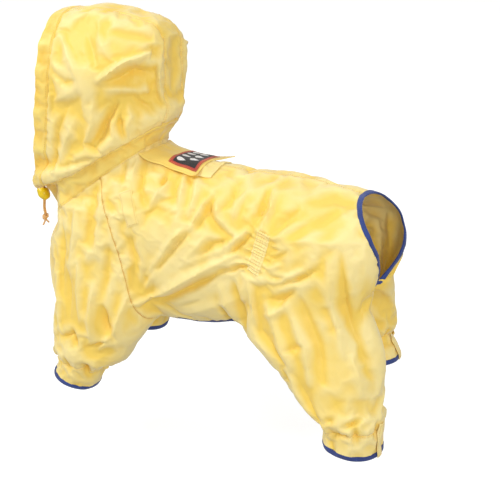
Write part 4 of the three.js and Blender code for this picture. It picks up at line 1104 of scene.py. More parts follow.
def make_crinkle():
    """Soft small creases and cloudy shading of thin coated cloth."""
    group, inside, out = add_group(
        "crinkle",
        [("Vector", "NodeSocketVector", (0, 0, 0)), ("Scale", "NodeSocketFloat", 60.0)],
        [("Height", "NodeSocketFloat"), ("Cloud", "NodeSocketFloat")],
    )
    bend = group.nodes.new("ShaderNodeTexNoise")
    bend.inputs["Detail"].default_value = 2
    group.links.new(inside.outputs["Vector"], bend.inputs["Vector"])
    group.links.new(inside.outputs["Scale"], bend.inputs["Scale"])
    fine = group.nodes.new("ShaderNodeTexVoronoi")
    fine.feature = "SMOOTH_F1"
    warped = group.nodes.new("ShaderNodeVectorMath")
    warped.operation = "MULTIPLY_ADD"
    warped.inputs[1].default_value = (0.03, 0.03, 0.03)
    group.links.new(bend.outputs["Color"], warped.inputs[0])
    group.links.new(inside.outputs["Vector"], warped.inputs[2])
    group.links.new(warped.outputs[0], fine.inputs["Vector"])
    group.links.new(inside.outputs["Scale"], fine.inputs["Scale"])
    cells = math_node(group, "MULTIPLY", fine.outputs["Distance"], 0.6)
    group.links.new(math_node(group, "ADD", bend.outputs["Fac"], cells), out.inputs["Height"])
    group.links.new(bend.outputs["Fac"], out.inputs["Cloud"])
    return group


def make_weave():
    """Crossed threads along a piece's own UV map."""
    group, inside, out = add_group(
        "weave",
        [("Vector", "NodeSocketVector", (0, 0, 0)), ("Threads", "NodeSocketFloat", 1500.0)],
        [("Height", "NodeSocketFloat")],
    )
    split = group.nodes.new("ShaderNodeSeparateXYZ")
    group.links.new(inside.outputs["Vector"], split.inputs[0])
    waves = []
    for axis in ("X", "Y"):
        phase = math_node(group, "MULTIPLY", split.outputs[axis], inside.outputs["Threads"])
        waves.append(math_node(group, "SINE", phase))
    group.links.new(math_node(group, "MULTIPLY", *waves), out.inputs["Height"])
    return group


CRINKLE = make_crinkle()
WEAVE = make_weave()


def new_material(name, roughness):
    material = bpy.data.materials.new(name)
    material.use_nodes = True
    shader = material.node_tree.nodes["Principled BSDF"]
    shader.inputs["Roughness"].default_value = roughness
    return material, material.node_tree, shader


def use_group(tree, group, vector, **values):
    node = tree.nodes.new("ShaderNodeGroup")
    node.node_tree = group
    tree.links.new(vector, node.inputs["Vector"])
    for key, value in values.items():
        node.inputs[key].default_value = value
    return node


def ramp(tree, factor, low, high):
    node = tree.nodes.new("ShaderNodeValToRGB")
    node.color_ramp.elements[0].position, node.color_ramp.elements[0].color = low
    node.color_ramp.elements[1].position, node.color_ramp.elements[1].color = high
    tree.links.new(factor, node.inputs["Fac"])
    return node.outputs["Color"]


def bump(tree, height, strength, distance, normal=None):
    node = tree.nodes.new("ShaderNodeBump")
    node.inputs["Strength"].default_value = strength
    node.inputs["Distance"].default_value = distance
    tree.links.new(height, node.inputs["Height"])
    if normal is not None:
        tree.links.new(normal, node.inputs["Normal"])
    return node.outputs["Normal"]


def cloth_material(name, light, deep):
    material, tree, shader = new_material(name, 0.44)
    where = tree.nodes.new("ShaderNodeTexCoord")
    crinkle = use_group(tree, CRINKLE, where.outputs["Object"], Scale=55)
    cloud = use_group(tree, CRINKLE, where.outputs["Object"], Scale=14)
    weave = use_group(tree, WEAVE, where.outputs["UV"], Threads=7000)
    # The "sunk" attribute is painted crease shade: it pulls the colour towards its darker end in creases
    sunk = tree.nodes.new("ShaderNodeAttribute")
    sunk.attribute_name = "sunk"
    shade_in_creases = math_node(tree, "MULTIPLY", sunk.outputs["Fac"], 0.6)
    shade = math_node(tree, "SUBTRACT", cloud.outputs["Cloud"], shade_in_creases)
    tree.links.new(ramp(tree, shade, (0, deep), (0.52, light)), shader.inputs["Base Color"])
    soft = bump(tree, crinkle.outputs["Height"], 0.3, 0.003)
    tree.links.new(bump(tree, weave.outputs["Height"], 0.25, 0.00006, soft), shader.inputs["Normal"])
    for key, value in {
        "Sheen Weight": 0.35, "Sheen Roughness": 0.4, "Specular IOR Level": 0.32,
        "Subsurface Weight": 0.07, "Subsurface Radius": (1.0, 0.75, 0.25), "Subsurface Scale": 0.0015,
    }.items():
        shader.inputs[key].default_value = value
    return material


def tape_material(name, light, deep):
    material, tree, shader = new_material(name, 0.62)
    where = tree.nodes.new("ShaderNodeTexCoord")
    weave = use_group(tree, WEAVE, where.outputs["UV"], Threads=6500)
    cloud = use_group(tree, CRINKLE, where.outputs["Object"], Scale=40)
    colour = ramp(tree, cloud.outputs["Cloud"], (0.35, deep), (0.65, light))
    tree.links.new(colour, shader.inputs["Base Color"])
    tree.links.new(bump(tree, weave.outputs["Height"], 0.5, 0.0002), shader.inputs["Normal"])
    shader.inputs["Sheen Weight"].default_value = 0.2
    return material


def plastic_material(name, colour):
    material, tree, shader = new_material(name, 0.3)
    where = tree.nodes.new("ShaderNodeTexCoord")
    cloud = use_group(tree, CRINKLE, where.outputs["Object"], Scale=180)
    darker = tuple(c * 0.86 for c in colour[:3]) + (1,)
    mixed = ramp(tree, cloud.outputs["Cloud"], (0.3, darker), (0.6, colour))
    tree.links.new(mixed, shader.inputs["Base Color"])
    tree.links.new(bump(tree, cloud.outputs["Height"], 0.05, 0.0004), shader.inputs["Normal"])
    shader.inputs["Coat Weight"].default_value = 0.15
    return material


# Both cloths are darkened towards their darker colour in creases, as painted shade
COAT = cloth_material("yellow_nylon", CLOTH_LIGHT, CLOTH_DARK_TONE_AND_SHADE)
BAND = cloth_material("yellow_band", (0.97, 0.74, 0.20, 1), (0.92, 0.60, 0.10, 1))
# The thread is darker than the cloth: partly its own colour, partly painted shade of the seam lines it
# runs along
THREAD_AND_SEAM_SHADE = tape_material("thread_and_seam_shade", (0.82, 0.50, 0.10, 1), (0.70, 0.38, 0.06, 1))
BLUE = tape_material("blue_tape", (0.020, 0.058, 0.28, 1), (0.013, 0.034, 0.18, 1))
LABEL_RED = tape_material("label_red", (0.62, 0.07, 0.04, 1), (0.48, 0.045, 0.03, 1))
LABEL_BLACK = tape_material("label_black", (0.016, 0.014, 0.02, 1), (0.008, 0.008, 0.012, 1))
LABEL_WHITE = tape_material("label_white", (0.95, 0.94, 0.94, 1), (0.88, 0.87, 0.88, 1))
CORD = tape_material("peach_cord", (0.90, 0.58, 0.26, 1), (0.78, 0.44, 0.16, 1))
LOCK_YELLOW = plastic_material("lock_yellow", (0.90, 0.66, 0.01, 1))

# Panels of cloth
CLOTH_WALL = 0.7
BAND_WALL = 1.8
FLAT = {  # cut size of each panel in millimetres: width, length
    "hood_casing": (46, 460), "hood_crown_strip": (48, 330), "hood_left": (210, 245),
    "hood_right": (210, 245), "neck_band": (48, 480), "chest": (100, 190),
    "sleeve_left": (250, 270), "sleeve_right": (250, 270), "body_left": (480, 330),
    "body_right": (480, 330), "front_left_cuff": (250, 56), "front_right_cuff": (250, 50),
    "hind_left_cuff": (250, 56), "hind_right_cuff": (250, 50),
}


def area_of(points, faces):
    p = np.asarray(points)[np.asarray(faces)]
    return np.linalg.norm(np.cross(p[:, 1] - p[:, 0], p[:, 2] - p[:, 0]), axis=1).sum() / 2


def set_uv(obj, uv):
    """Gives a piece a UV map in metres from one (u, v) for each point."""
    layer = obj.data.uv_layers.new(name="cloth")
    corner = np.empty(len(obj.data.loops), int)
    obj.data.loops.foreach_get("vertex_index", corner)
    layer.data.foreach_set("uv", (np.asarray(uv)[corner] * MM).ravel())


def finish_piece(obj, material, slot, *replaced):
    obj.data.materials.clear()
    obj.data.materials.append(material)
    if replaced:
        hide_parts(*replaced)
    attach(obj, "root")
    return obj


def set_smooth(obj, angle):
    """Smooth shading, but not over edges sharper than an angle in degrees."""
    only(obj)
    bpy.ops.object.shade_smooth_by_angle(angle=math.radians(angle))


def face_outwards(obj):
    only(obj)
    bpy.ops.object.mode_set(mode="EDIT")
    bpy.ops.mesh.select_all(action="SELECT")
    bpy.ops.mesh.normals_make_consistent(inside=False)
    bpy.ops.object.mode_set(mode="OBJECT")


def round_edges(obj, width, angle):
    edge = obj.modifiers.new("edge", "BEVEL")
    edge.width = width * MM
    edge.segments = 2
    edge.limit_method = "ANGLE"
    edge.angle_limit = math.radians(angle)


def run_along(points):
    """The distance of each point of a line from its start."""
    return np.concatenate([[0], np.cumsum(np.linalg.norm(np.diff(points, axis=0), axis=1))])


def circle(radius, count):
    turns = [2 * math.pi * i / count for i in range(count)]
    return [(radius * math.cos(turn), radius * math.sin(turn)) for turn in turns]


def thickened(points, faces, wall, share):
    """Gives a sheet an inner face and closes its edges. share of the wall lies outside it."""
    corners = points[faces]
    flat = np.cross(corners[:, 1] - corners[:, 0], corners[:, 2] - corners[:, 0])
    normal = np.zeros_like(points)
    for corner in range(3):
        for axis in range(3):
            normal[:, axis] += np.bincount(faces[:, corner], flat[:, axis], len(points))
    normal = unit(normal)
    size = len(points)
    directed = np.concatenate([faces[:, [0, 1]], faces[:, [1, 2]], faces[:, [2, 0]]])
    keys = directed[:, 0] * size + directed[:, 1]
    back_keys = directed[:, 1] * size + directed[:, 0]
    rim_edges = directed[~np.isin(keys, back_keys)]
    a, b = rim_edges.T
    rim_faces = np.stack([b, a, a + size, b + size], 1)
    both = np.concatenate([points + normal * wall * share, points - normal * wall * (1 - share)])
    return both, faces.tolist() + (faces[:, ::-1] + size).tolist() + rim_faces.tolist()


def make_panel(name):
    own = triangles[names == number_of[name]]
    used = np.unique(own)
    place = np.full(len(surface), -1)
    place[used] = np.arange(len(used))
    banded = name in ("neck_band", "hood_casing")
    wall, share = (BAND_WALL, 0.4) if banded else (CLOTH_WALL, 0)
    points, faces = thickened(surface[used], place[own], wall, share)
    obj = mesh_object("cloth_" + name, points, faces)
    # The "sunk" attribute carries the painted crease shade to the cloth's material
    sunk = obj.data.attributes.new("sunk", "FLOAT", "POINT")
    sunk.data.foreach_set("value", np.tile(painted_crease_shade[used], 2).astype(np.float32))
    p = form[used]
    flat = np.stack([p[:, 0] * 0.8 + p[:, 1] * 0.6, p[:, 2] * 0.8 - p[:, 1] * 0.6 + p[:, 0] * 0.2], 1)
    set_uv(obj, np.concatenate([flat, flat]))
    set_smooth(obj, 62)
    return finish_piece(obj, BAND if banded else COAT, "coat_cloth", name)


panels = {name: make_panel(name) for name in PANELS}


def tree_of(objects):
    points, faces = [], []
    for obj in objects:
        mesh = obj.data
        mesh.calc_loop_triangles()
        place = np.empty(len(mesh.vertices) * 3)
        mesh.vertices.foreach_get("co", place)
        corner = np.empty(len(mesh.loop_triangles) * 3, int)
        mesh.loop_triangles.foreach_get("vertices", corner)
        faces.append(corner.reshape(-1, 3) + sum(map(len, points)))
        points.append(place.reshape(-1, 3))
    return BVHTree.FromPolygons(np.concatenate(points).tolist(), np.concatenate(faces).tolist())


skin = tree_of(panels.values())


def on_skin(point, normal):
    """The cloth's outer face near a place, met from outside along its normal."""
    n = Vector(normal)
    hit = skin.ray_cast(Vector(point) * MM + n * 0.008, -n, 0.016)
    if hit[0] is None:
        return np.array(point, float)
    return np.array(hit[0]) / MM


# Lines of points for tapes and stitches
def resample(points, pitch, closed=False):
    points = np.asarray(points, float)
    if closed and np.linalg.norm(points[0] - points[-1]) > 1e-6:
        points = np.vstack([points, points[:1]])
    places = run_along(points)
    steps = max(int(round(places[-1] / pitch)), 2)
    at = np.linspace(0, places[-1], steps + 1)
    if closed:
        at = at[:-1]
    return np.stack([np.interp(at, places, points[:, a]) for a in range(3)], 1)


def smoothed(points, rounds, closed):
    points = np.array(points, float)
    for _ in range(rounds):
        before, after = np.roll(points, 1, 0), np.roll(points, -1, 0)
        middle = (before + after) / 4 + points / 2
        if not closed:
            middle[0], middle[-1] = points[0], points[-1]
        points = middle
    return points


def tangents(points, closed):
    if closed:
        return unit(np.roll(points, -1, 0) - np.roll(points, 1, 0))
    return unit(np.gradient(points, axis=0))


def swept(name, path, side, out, section, closed, material, slot, *replaced):
    """A tube of a flat section: side and out are the section's directions at each point."""
    section = np.array(section, float)
    count, around = len(path), len(section)
    spread = side[:, None] * section[None, :, 0:1] + out[:, None] * section[None, :, 1:2]
    points = (path[:, None] + spread).reshape(-1, 3)
    faces = []
    for i in range(count if closed else count - 1):
        for j in range(around):
            a, b = i * around + j, i * around + (j + 1) % around
            c, d = ((i + 1) % count) * around + (j + 1) % around, ((i + 1) % count) * around + j
            faces.append([a, b, c, d])
    if not closed:
        faces.append(list(range(around))[::-1])
        faces.append([(count - 1) * around + j for j in range(around)])
    obj = mesh_object(name, points, faces)
    uv = np.stack([np.repeat(run_along(path), around), np.tile(run_along(section), count)], 1)
    set_uv(obj, uv)
    face_outwards(obj)
    set_smooth(obj, 50)
    return finish_piece(obj, material, slot, *replaced)


# Folded tape: its section goes round the cloth's raw edge
TAPE_SECTION = [
    (-1.0, 0.25), (-0.75, 0.95), (-0.1, 1.25), (TAPE * 0.5, 1.3), (TAPE - 0.5, 1.2), (TAPE, 0.75),
]
TAPE_SECTION += [(across, -out) for across, out in TAPE_SECTION[::-1]]
TAPE_STEP = 3.2


def make_tape(name, edges, replaced):
    """Tape along the longest line that an opening's edges form."""
    line = max(chains(edges), key=len)
    closed = line[0] == line[-1]
    ids = line[:-1] if closed else line
    path = resample(smoothed(surface[ids], 2, closed), TAPE_STEP, closed)
    normal = unit(smoothed(outwards(resample(form[ids], TAPE_STEP, closed)), 2, closed))
    if len(normal) != len(path):
        normal = outwards(path)
    along = tangents(path, closed)
    side = unit(np.cross(normal, along))
    there = [path[0] + side[0] * 6, path[0] - side[0] * 6]
    gaps = [np.linalg.norm(surface[np.unique(triangles)] - place, axis=1).min() for place in there]
    if gaps[1] < gaps[0]:
        side = -side  # the tape goes over the cloth, not over the opening
    # It lies on the cloth, which may have moved off the form
    inner = np.array([on_skin(p + s * (TAPE - 1), n) for p, s, n in zip(path, side, normal)])
    lean = smoothed(inner - path, 3, closed)
    side = unit(lean - along * (lean * along).sum(1)[:, None])
    out = unit(np.cross(along, side))
    out *= np.sign((out * normal).sum(1))[:, None]
    path = path - out * CLOTH_WALL / 2
    return swept(name, path, side, out, TAPE_SECTION, closed, BLUE, "edge_tape", replaced)


def opening_edges(near):
    """Edges of the openings whose points all pass a test."""
    picked = []
    for (one, other), edges in seams.items():
        if other == OPEN:
            for a, b in edges:
                if near(form[[a, b]]).all():
                    picked.append((a, b))
    return picked


tapes = {}
for leg in LEGS:
    word = leg["name"] + "_cuff"
    tapes[word] = make_tape("tape_" + word, seams.get((number_of[word], OPEN), []), word + "_tape")
for word, near in (("tail", on_tail), ("belly", on_belly)):
    make_tape(f"tape_{word}_opening", opening_edges(near), f"{word}_opening_tape")

# Stitches: one small lozenge, copied along each seam
STITCH = np.array([
    (-1, 0, 0), (-0.62, -0.8, 0.25), (-0.62, 0.8, 0.25), (-0.62, 0, 1), (-0.62, 0, -0.8),
    (0.62, -0.8, 0.25), (0.62, 0.8, 0.25), (0.62, 0, 1), (0.62, 0, -0.8), (1, 0, 0),
])
STITCH_FACES = np.array([
    (0, 1, 3), (0, 3, 2), (0, 2, 4), (0, 4, 1), (1, 5, 3), (5, 7, 3), (3, 7, 2), (7, 6, 2),
    (2, 6, 4), (6, 8, 4), (4, 8, 1), (8, 5, 1), (9, 7, 5), (9, 6, 7), (9, 8, 6), (9, 5, 8),
])
STITCH_SIZE = np.array([1.05, 0.26, 0.22])
STITCH_PITCH = 3.0
PATCH_PITCH = 2.6


def sew(name, stitches):
    """One piece of stitches, from the place, thread direction and outward direction of each."""
    points, faces = [], []
    for place, along, out in stitches:
        basis = np.stack([along, unit(np.cross(out, along)), out])
        faces.append(STITCH_FACES + len(points) * len(STITCH))
        points.append((STITCH * STITCH_SIZE) @ basis + place)
    obj = mesh_object(name, np.concatenate(points), np.concatenate(faces))
    return finish_piece(obj, THREAD_AND_SEAM_SHADE, "coat_cloth")


def make_stitches(name, rows):
    """rows are lines of (points, normals, closed) that the thread runs along."""
    sew(name, [
        (on_skin(p, n) + n * 0.1, along, n)
        for path, normal, closed in rows
        for p, along, n in zip(path, tangents(path, closed), normal)
    ])


def beside(line, offset):
    """A row beside a seam: its points, moved sideways along the cloth, and their normals."""
    closed = line[0] == line[-1]
    ids = line[:-1] if closed else line
    path = resample(smoothed(surface[ids], 3, closed), STITCH_PITCH, closed)
    if len(path) < 4:
        return None
    normal = outwards(path)
    side = unit(np.cross(normal, tangents(path, closed)))
    return path + side * offset, normal, closed


def seam_rows(pairs):
    rows = []
    for one, other, offsets in pairs:
        for line in seam_lines(one, other):
            if len(line) < 6:
                continue
            rows += [beside(line, offset) for offset in offsets]
    return [row for row in rows if row is not None]


make_stitches("stitches_hood", seam_rows([
    ("hood_casing", "hood_left", [1.6]), ("hood_casing", "hood_right", [1.6]),
    ("hood_casing", "hood_crown_strip", [1.6]),
    ("hood_crown_strip", "hood_left", [1.5, -1.5]), ("hood_crown_strip", "hood_right", [1.5, -1.5]),
]))
# A welt along each raglan seam, by its section. Its dark thread colour is partly the welt, partly painted
# shade along the overlapping seam
WELT = [(-0.7, -0.5), (-0.7, 0.1), (-0.35, 0.42), (0.35, 0.42), (0.7, 0.1), (0.7, -0.5)]
for word in ("left", "right"):
    line = max(seam_lines("sleeve_" + word, "body_" + word), key=len)
    path = resample(smoothed(surface[line], 2, False), 2.5)
    out = outwards(path)
    path = np.array([on_skin(point, normal) for point, normal in zip(path, out)])
    path[1:-1] = (path[:-2] + path[2:]) / 4 + path[1:-1] / 2
    path += out * 0.25
    side = unit(np.cross(out, tangents(path, False)))
    swept("welt_raglan_" + word, path, side, out, WELT, False, THREAD_AND_SEAM_SHADE, "coat_cloth")
make_stitches("stitches_neck", seam_rows(
    [("neck_band", other, [1.6, -1.6]) for other in PANELS if other != "neck_band"]
))
make_stitches("stitches_body", seam_rows([
    ("sleeve_left", "body_left", [-1.5]), ("sleeve_right", "body_right", [-1.5]),
    ("chest", "sleeve_left", [1.5]), ("chest", "sleeve_right", [1.5]),
    ("body_left", "body_right", [1.4, -1.4]),
]))
make_stitches("stitches_cuffs", seam_rows(
    [(f"front_{w}_cuff", f"sleeve_{w}", [1.5, -1.5]) for w in ("left", "right")]
    + [(f"hind_{w}_cuff", f"body_{w}", [1.5, -1.5]) for w in ("left", "right")]
))


# Patches that lie on the cloth
def patch(name, grid, normal, lift, wall, material, slot, *replaced, rise=0, round_edge=0.35, sewn=0):
    """A sheet over a grid of points, with its thickness and softened edges. Its outermost points
    sink by the amount sewn."""
    rows, columns = grid.shape[:2]
    height = (np.full((rows, columns), lift + wall) + rise)[..., None]
    height[[0, -1]] -= sewn
    height[1:-1, [0, -1]] -= sewn
    points = (grid + np.asarray(normal) * height).reshape(-1, 3)
    ids = np.arange(rows * columns).reshape(rows, columns)
    faces = np.stack([ids[:-1, :-1], ids[1:, :-1], ids[1:, 1:], ids[:-1, 1:]], -1).reshape(-1, 4)
    ahead, aside = grid[1, 0] - grid[0, 0], grid[0, 1] - grid[0, 0]
    if np.cross(ahead, aside) @ np.broadcast_to(normal, grid.shape)[0, 0] < 0:
        faces = faces[:, ::-1]
    obj = mesh_object(name, points, faces)
    uv = np.meshgrid(run_along(grid[:, 0]), run_along(grid[0]), indexing="ij")
    set_uv(obj, np.stack(uv, -1).reshape(-1, 2))
    solid = obj.modifiers.new("wall", "SOLIDIFY")
    solid.thickness = wall * MM
    solid.offset = -1
    if round_edge:
        round_edges(obj, round_edge, 50)
    apply_all(obj)
    set_smooth(obj, 40)
    return finish_piece(obj, material, slot, *replaced)


def height_on(tree, x, y, missing):
    """The height of a surface straight below a place."""
    hit = tree.ray_cast(Vector((x, y, 60)) * MM, Vector((0, 0, -1)))
    return missing if hit[0] is None else hit[0].z / MM


back = tree_of([panels["body_left"], panels["body_right"]])


def neck_seam_at(y):
    x = -95.0
    while height_on(back, x - 0.5, y, None) is not None:
        x -= 0.5
    return x


def back_grid(front, rear, half, long, wide, clear=0, far=0, slant=0):
    """Points on the back. Without a front, it starts clear of the neck seam. far widens it on the
    far side, where its rear edge is slanted."""
    rows = []
    for y in np.linspace(-half, half + far, wide):
        start = neck_seam_at(y) + clear if front is None else front
        end = rear + slant * max(0.0, (y - 8) / (half + far - 8)) ** 1.3
        rows.append([(x, y, height_on(back, x, y, -2)) for x in np.linspace(start, end, long)])
    return np.array(rows)


UP = np.array([0.0, 0.0, 1.0])
BACKWARDS = np.array([1.0, 0.0, 0.0])
FLAP = dict(clear=5, rear=-57, half=40, far=6, slant=13, curl=8, lift=2.6, stand=2.5, wall=1.4)
UNDERLAY = dict(front=-104, rear=-39, half=33, lift=0.8, wall=1.2)
LABEL = dict(front=-100, rear=-60, half=33, lift=0.4, wall=0.5, edge=4, seam=1.2, field=0.12)

under = back_grid(UNDERLAY["front"], UNDERLAY["rear"], UNDERLAY["half"], 30, 31)
patch("patch_flap_underlay", under, UP, UNDERLAY["lift"], UNDERLAY["wall"], COAT, "coat_cloth",
      "flap_underlay")
top = back_grid(None, FLAP["rear"], FLAP["half"], 34, 37, FLAP["clear"], FLAP["far"], FLAP["slant"])
across = (top[..., 1] / FLAP["half"]) ** 2
for _ in range(6):  # the stiff flap bridges small creases
    top[1:-1, :, 2] = (top[:-2, :, 2] + top[2:, :, 2]) / 2
    top[:, 1:-1, 2] = (top[:, :-2, 2] + top[:, 2:, 2]) / 2
curl = np.clip((top[..., 1] - 10) / 36, 0, 1) ** 2 * np.clip(np.linspace(-0.6, 1, 34), 0, 1)[None]
flap_rise = FLAP["stand"] * across + FLAP["curl"] * curl
flap = patch("flap_back", top, UP, FLAP["lift"], FLAP["wall"], BAND, "coat_cloth", "back_flap",
             rise=flap_rise)
flap_tree = tree_of([flap])


def on_flap(x, y):
    return height_on(flap_tree, x, y, 8)


def label_grid(inset, long, wide):
    half = LABEL["half"] - inset
    return np.array([
        [(x, y, on_flap(x, y)) for x in np.linspace(LABEL["front"] + inset, LABEL["rear"] - inset, long)]
        for y in np.linspace(-half, half, wide)
    ])


label_top = LABEL["lift"] + LABEL["wall"]
patch("label_ground", label_grid(0, 30, 42), UP, LABEL["lift"], LABEL["wall"], LABEL_RED, "label",
      "flap_label", round_edge=0.15)
patch("label_field", label_grid(LABEL["edge"], 28, 40), UP, label_top, LABEL["field"], LABEL_BLACK,
      "label", round_edge=0)

# Raindrops: half length and half width, heights of their two faces over the flap, and their rows
DROP = dict(long=6.0, wide=5.0, sides=20, narrow=1.6, heights=(1.65, 1.05))
DROP_ROWS = [(-87.5, (-21, -7, 7, 21)), (-72.5, (-14, 0, 14))]


def make_drops():
    """Plain raindrops in two staggered rows on the label's field."""
    points, faces = [], []
    outline = []
    for i, (along, across) in enumerate(circle(1, DROP["sides"])):
        narrow = math.sin(math.pi * i / DROP["sides"]) ** DROP["narrow"]
        outline.append((along * DROP["long"], across * DROP["wide"] * narrow))
    for x, y in [(x, y) for x, row in DROP_ROWS for y in row]:
        base = len(points)
        ring = [(x + a, y + b) for a, b in outline]
        for height in DROP["heights"]:
            points += [(px, py, on_flap(px, py) + height) for px, py in [*ring, (x, y)]]
        n = len(ring)
        for i in range(n):
            j = (i + 1) % n
            faces.append([base + n, base + i, base + j])
            faces.append([base + 2 * n + 1, base + n + 1 + j, base + n + 1 + i])
            faces.append([base + i, base + n + 1 + i, base + n + 1 + j])
            faces.append([base + i, base + n + 1 + j, base + j])
    obj = mesh_object("label_drops", points, faces, smooth=False)
    face_outwards(obj)
    set_uv(obj, np.array(points)[:, :2])
    return finish_piece(obj, LABEL_WHITE, "label")


make_drops()


def side_grid(piece, side, long, wide):
    """Points of a turned rectangle on the side of the body."""
    turn = math.radians(piece["turn"])
    tree = side_trees[side]
    grid = []
    for u in np.linspace(-piece["long"] / 2, piece["long"] / 2, long):
        row = []
        for v in np.linspace(-piece["wide"] / 2, piece["wide"] / 2, wide):
            x = piece["x"] - u * math.sin(turn) + v * math.cos(turn) * -side
            z = piece["z"] + u * math.cos(turn) + v * math.sin(turn) * -side
            hit = tree.ray_cast(Vector((x, side * 160, z)) * MM, Vector((0, -side, 0)))
            row.append(np.array(hit[0]) / MM)
        grid.append(row)
    return np.array(grid)


side_trees = {-1: tree_of([panels["body_left"]]), 1: tree_of([panels["body_right"]])}


def border(grid, inset):
    """The line that runs round a grid, some of its points inside its edge."""
    inner = grid[inset:grid.shape[0] - inset, inset:grid.shape[1] - inset]
    return np.concatenate([inner[0], inner[:, -1], inner[-1, ::-1], inner[::-1, 0]])


def stitched(name, paths, lift):
    """Stitches along lines of (points, normal, closed) on a patch. Without a normal, it is the
    form's own."""
    stitches = []
    for path, normal, closed in paths:
        path = resample(path, PATCH_PITCH, closed)
        for p, along in zip(path, tangents(path, closed)):
            n = outwards(p[None])[0] if normal is None else normal
            stitches.append((p + n * lift, along, n))
    sew(name, stitches)


def side_normals(grid):
    return outwards(grid.reshape(-1, 3)).reshape(grid.shape)


WAIST_GRID = (89, 13)
WAIST_ROWS = (2, 5, 7, 10)  # the grid's columns that are sewn, and their places across it
WAIST_CHANNELS = np.array([[-2], [-0.7], [0.7], [2]]) / 3
tab_rows, waist_rows = [], []
for word, side in (("left", -1), ("right", 1)):
    grid = side_grid(SHOULDER_TAB, side, 24, 11)
    for _ in range(4):
        grid[1:-1, :, 1] = (grid[:-2, :, 1] + grid[2:, :, 1]) / 2 * 0.5 + grid[1:-1, :, 1] * 0.5
    normal = side_normals(grid)
    patch("tab_shoulder_" + word, grid, normal, SHOULDER_TAB["lift"], SHOULDER_TAB["wall"], COAT,
          "coat_cloth", "shoulder_tab_" + word, sewn=0.5)
    lifted = grid + normal * (SHOULDER_TAB["lift"] + SHOULDER_TAB["wall"])
    tab_rows.append((border(lifted, 1), None, True))

    grid = side_grid(WAIST, side, *WAIST_GRID)
    for _ in range(3):
        grid[:, 1:-1, 1] = (grid[:, :-2, 1] + grid[:, 2:, 1]) / 2
    normal = side_normals(grid)
    u = np.linspace(0, 1, WAIST_GRID[0])[:, None]
    v = np.linspace(-1, 1, WAIST_GRID[1])[None]
    uneven = 0.35 * np.sin(u * 17 + side) + 0.25 * np.sin(u * 41)
    wave = 1 - np.cos((u + uneven * 0.02) * WAIST["pleats"] * 2 * np.pi)
    channels = 1 - 0.55 * bell(3 * (v - WAIST_CHANNELS), math.sqrt(0.08)).sum(0)[None]
    rise = WAIST["rise"] * wave * (1 - 0.85 * np.abs(v) ** 3) * channels * (1 + uneven)
    patch("gather_waist_" + word, grid, normal, WAIST["lift"], WAIST["wall"], COAT, "coat_cloth",
          "waist_gather_" + word, rise=rise, sewn=0.7)
    lifted = grid + normal * (WAIST["lift"] + WAIST["wall"] + rise[..., None])
    waist_rows += [(lifted[:, j], None, False) for j in WAIST_ROWS]
stitched("stitches_tabs", tab_rows, 0.08)
stitched("stitches_waist", waist_rows, 0.05)
flap_top = top + UP * (FLAP["lift"] + FLAP["wall"] + flap_rise[..., None])
label_edge = label_grid(LABEL["seam"], 16, 22) + UP * label_top
stitched("stitches_flap", [(border(flap_top, 1), UP, True), (border(label_edge, 0), UP, True)], 0.05)

# Plackets behind the hind cuffs, from below the hem to above the gather
PLACKET = dict(offset=6, wide=11, below=3, above=14, right_above=3, lift=0.6, wall=1.0)
placket_rows = []
for leg in LEGS:
    if leg["front"]:
        continue
    word = "left" if leg["side"] < 0 else "right"
    cuff = leg["name"] + "_cuff"
    tree = tree_of([panels["body_" + word], panels[cuff], tapes[cuff]])
    top_z = -leg["gather"][0] + (PLACKET["above"] if leg["side"] < 0 else PLACKET["right_above"])
    bottom_z = -leg["hem"][0] - PLACKET["below"]
    middle = leg["side"] * (LEG_CENTRE + PLACKET["offset"])
    grid = []
    for z in np.linspace(bottom_z, top_z, 22):
        row = []
        for y in np.linspace(middle - PLACKET["wide"] / 2, middle + PLACKET["wide"] / 2, 8):
            xs = []
            for dy in (-2, 0, 2):
                for dz in (-3, 0, 3, 6):
                    hit = tree.ray_cast(Vector((280, y + dy, z + dz)) * MM, -Vector(BACKWARDS))
                    if hit[0] is not None:
                        xs.append(hit[0].x / MM)
            row.append((max(xs) if xs else np.nan, y, z))
        grid.append(row)
    grid = np.array(grid)
    for j in range(grid.shape[1]):
        missing = np.isnan(grid[:, j, 0])
        if missing.any() and not missing.all():
            grid[missing, j, 0] = grid[~missing, j, 0][0]
    # It bridges creases: it bends back by little from row to row, and is smooth
    for i in range(1, len(grid)):
        grid[i, :, 0] = np.clip(grid[i, :, 0], grid[i - 1, :, 0] - 2.5, grid[i - 1, :, 0] + 1.2)
    for _ in range(6):
        grid[1:-1, :, 0] = (grid[:-2, :, 0] + grid[2:, :, 0]) / 4 + grid[1:-1, :, 0] / 2
    grid[[0, -1], :, 0] = grid[[1, -2], :, 0]
    patch("placket_" + leg["name"], grid, BACKWARDS, PLACKET["lift"], PLACKET["wall"], COAT,
          "coat_cloth", "hind_placket_" + word)
    lifted = grid + BACKWARDS * (PLACKET["lift"] + PLACKET["wall"])
    placket_rows.append((border(lifted, 1), BACKWARDS, True))
stitched("stitches_plackets", placket_rows, 0.05)

# Cord lock under the chin
LOCK = dict(x=-318, y=-8, z=-69, tilt=math.radians(40), bore=3.0, edge=0.25, sides=40)
# Profiles of the lock, from its axis: radius and height
BARREL = [
    (0.05, -9.5), (3.4, -9.1), (5.4, -7.6), (7.0, -4.9), (8.1, -1.8), (8.6, 0.8), (8.2, 3.2), (7.3, 5.4),
    (6.6, 7.4), (6.0, 8.9), (5.3, 9.5), (4.75, 9.2), (4.7, 3.5), (0.05, 3.5),
]
BUTTON = [(0.05, 3.7), (4.35, 3.7), (4.35, 11.2), (4.1, 12.3), (3.4, 12.9), (0.05, 13.0)]
CORD_SIZE = dict(radius=1.2, apart=1.4, top=-52, knot=-103, end=-115, spread=3, steps=36, sides=12)


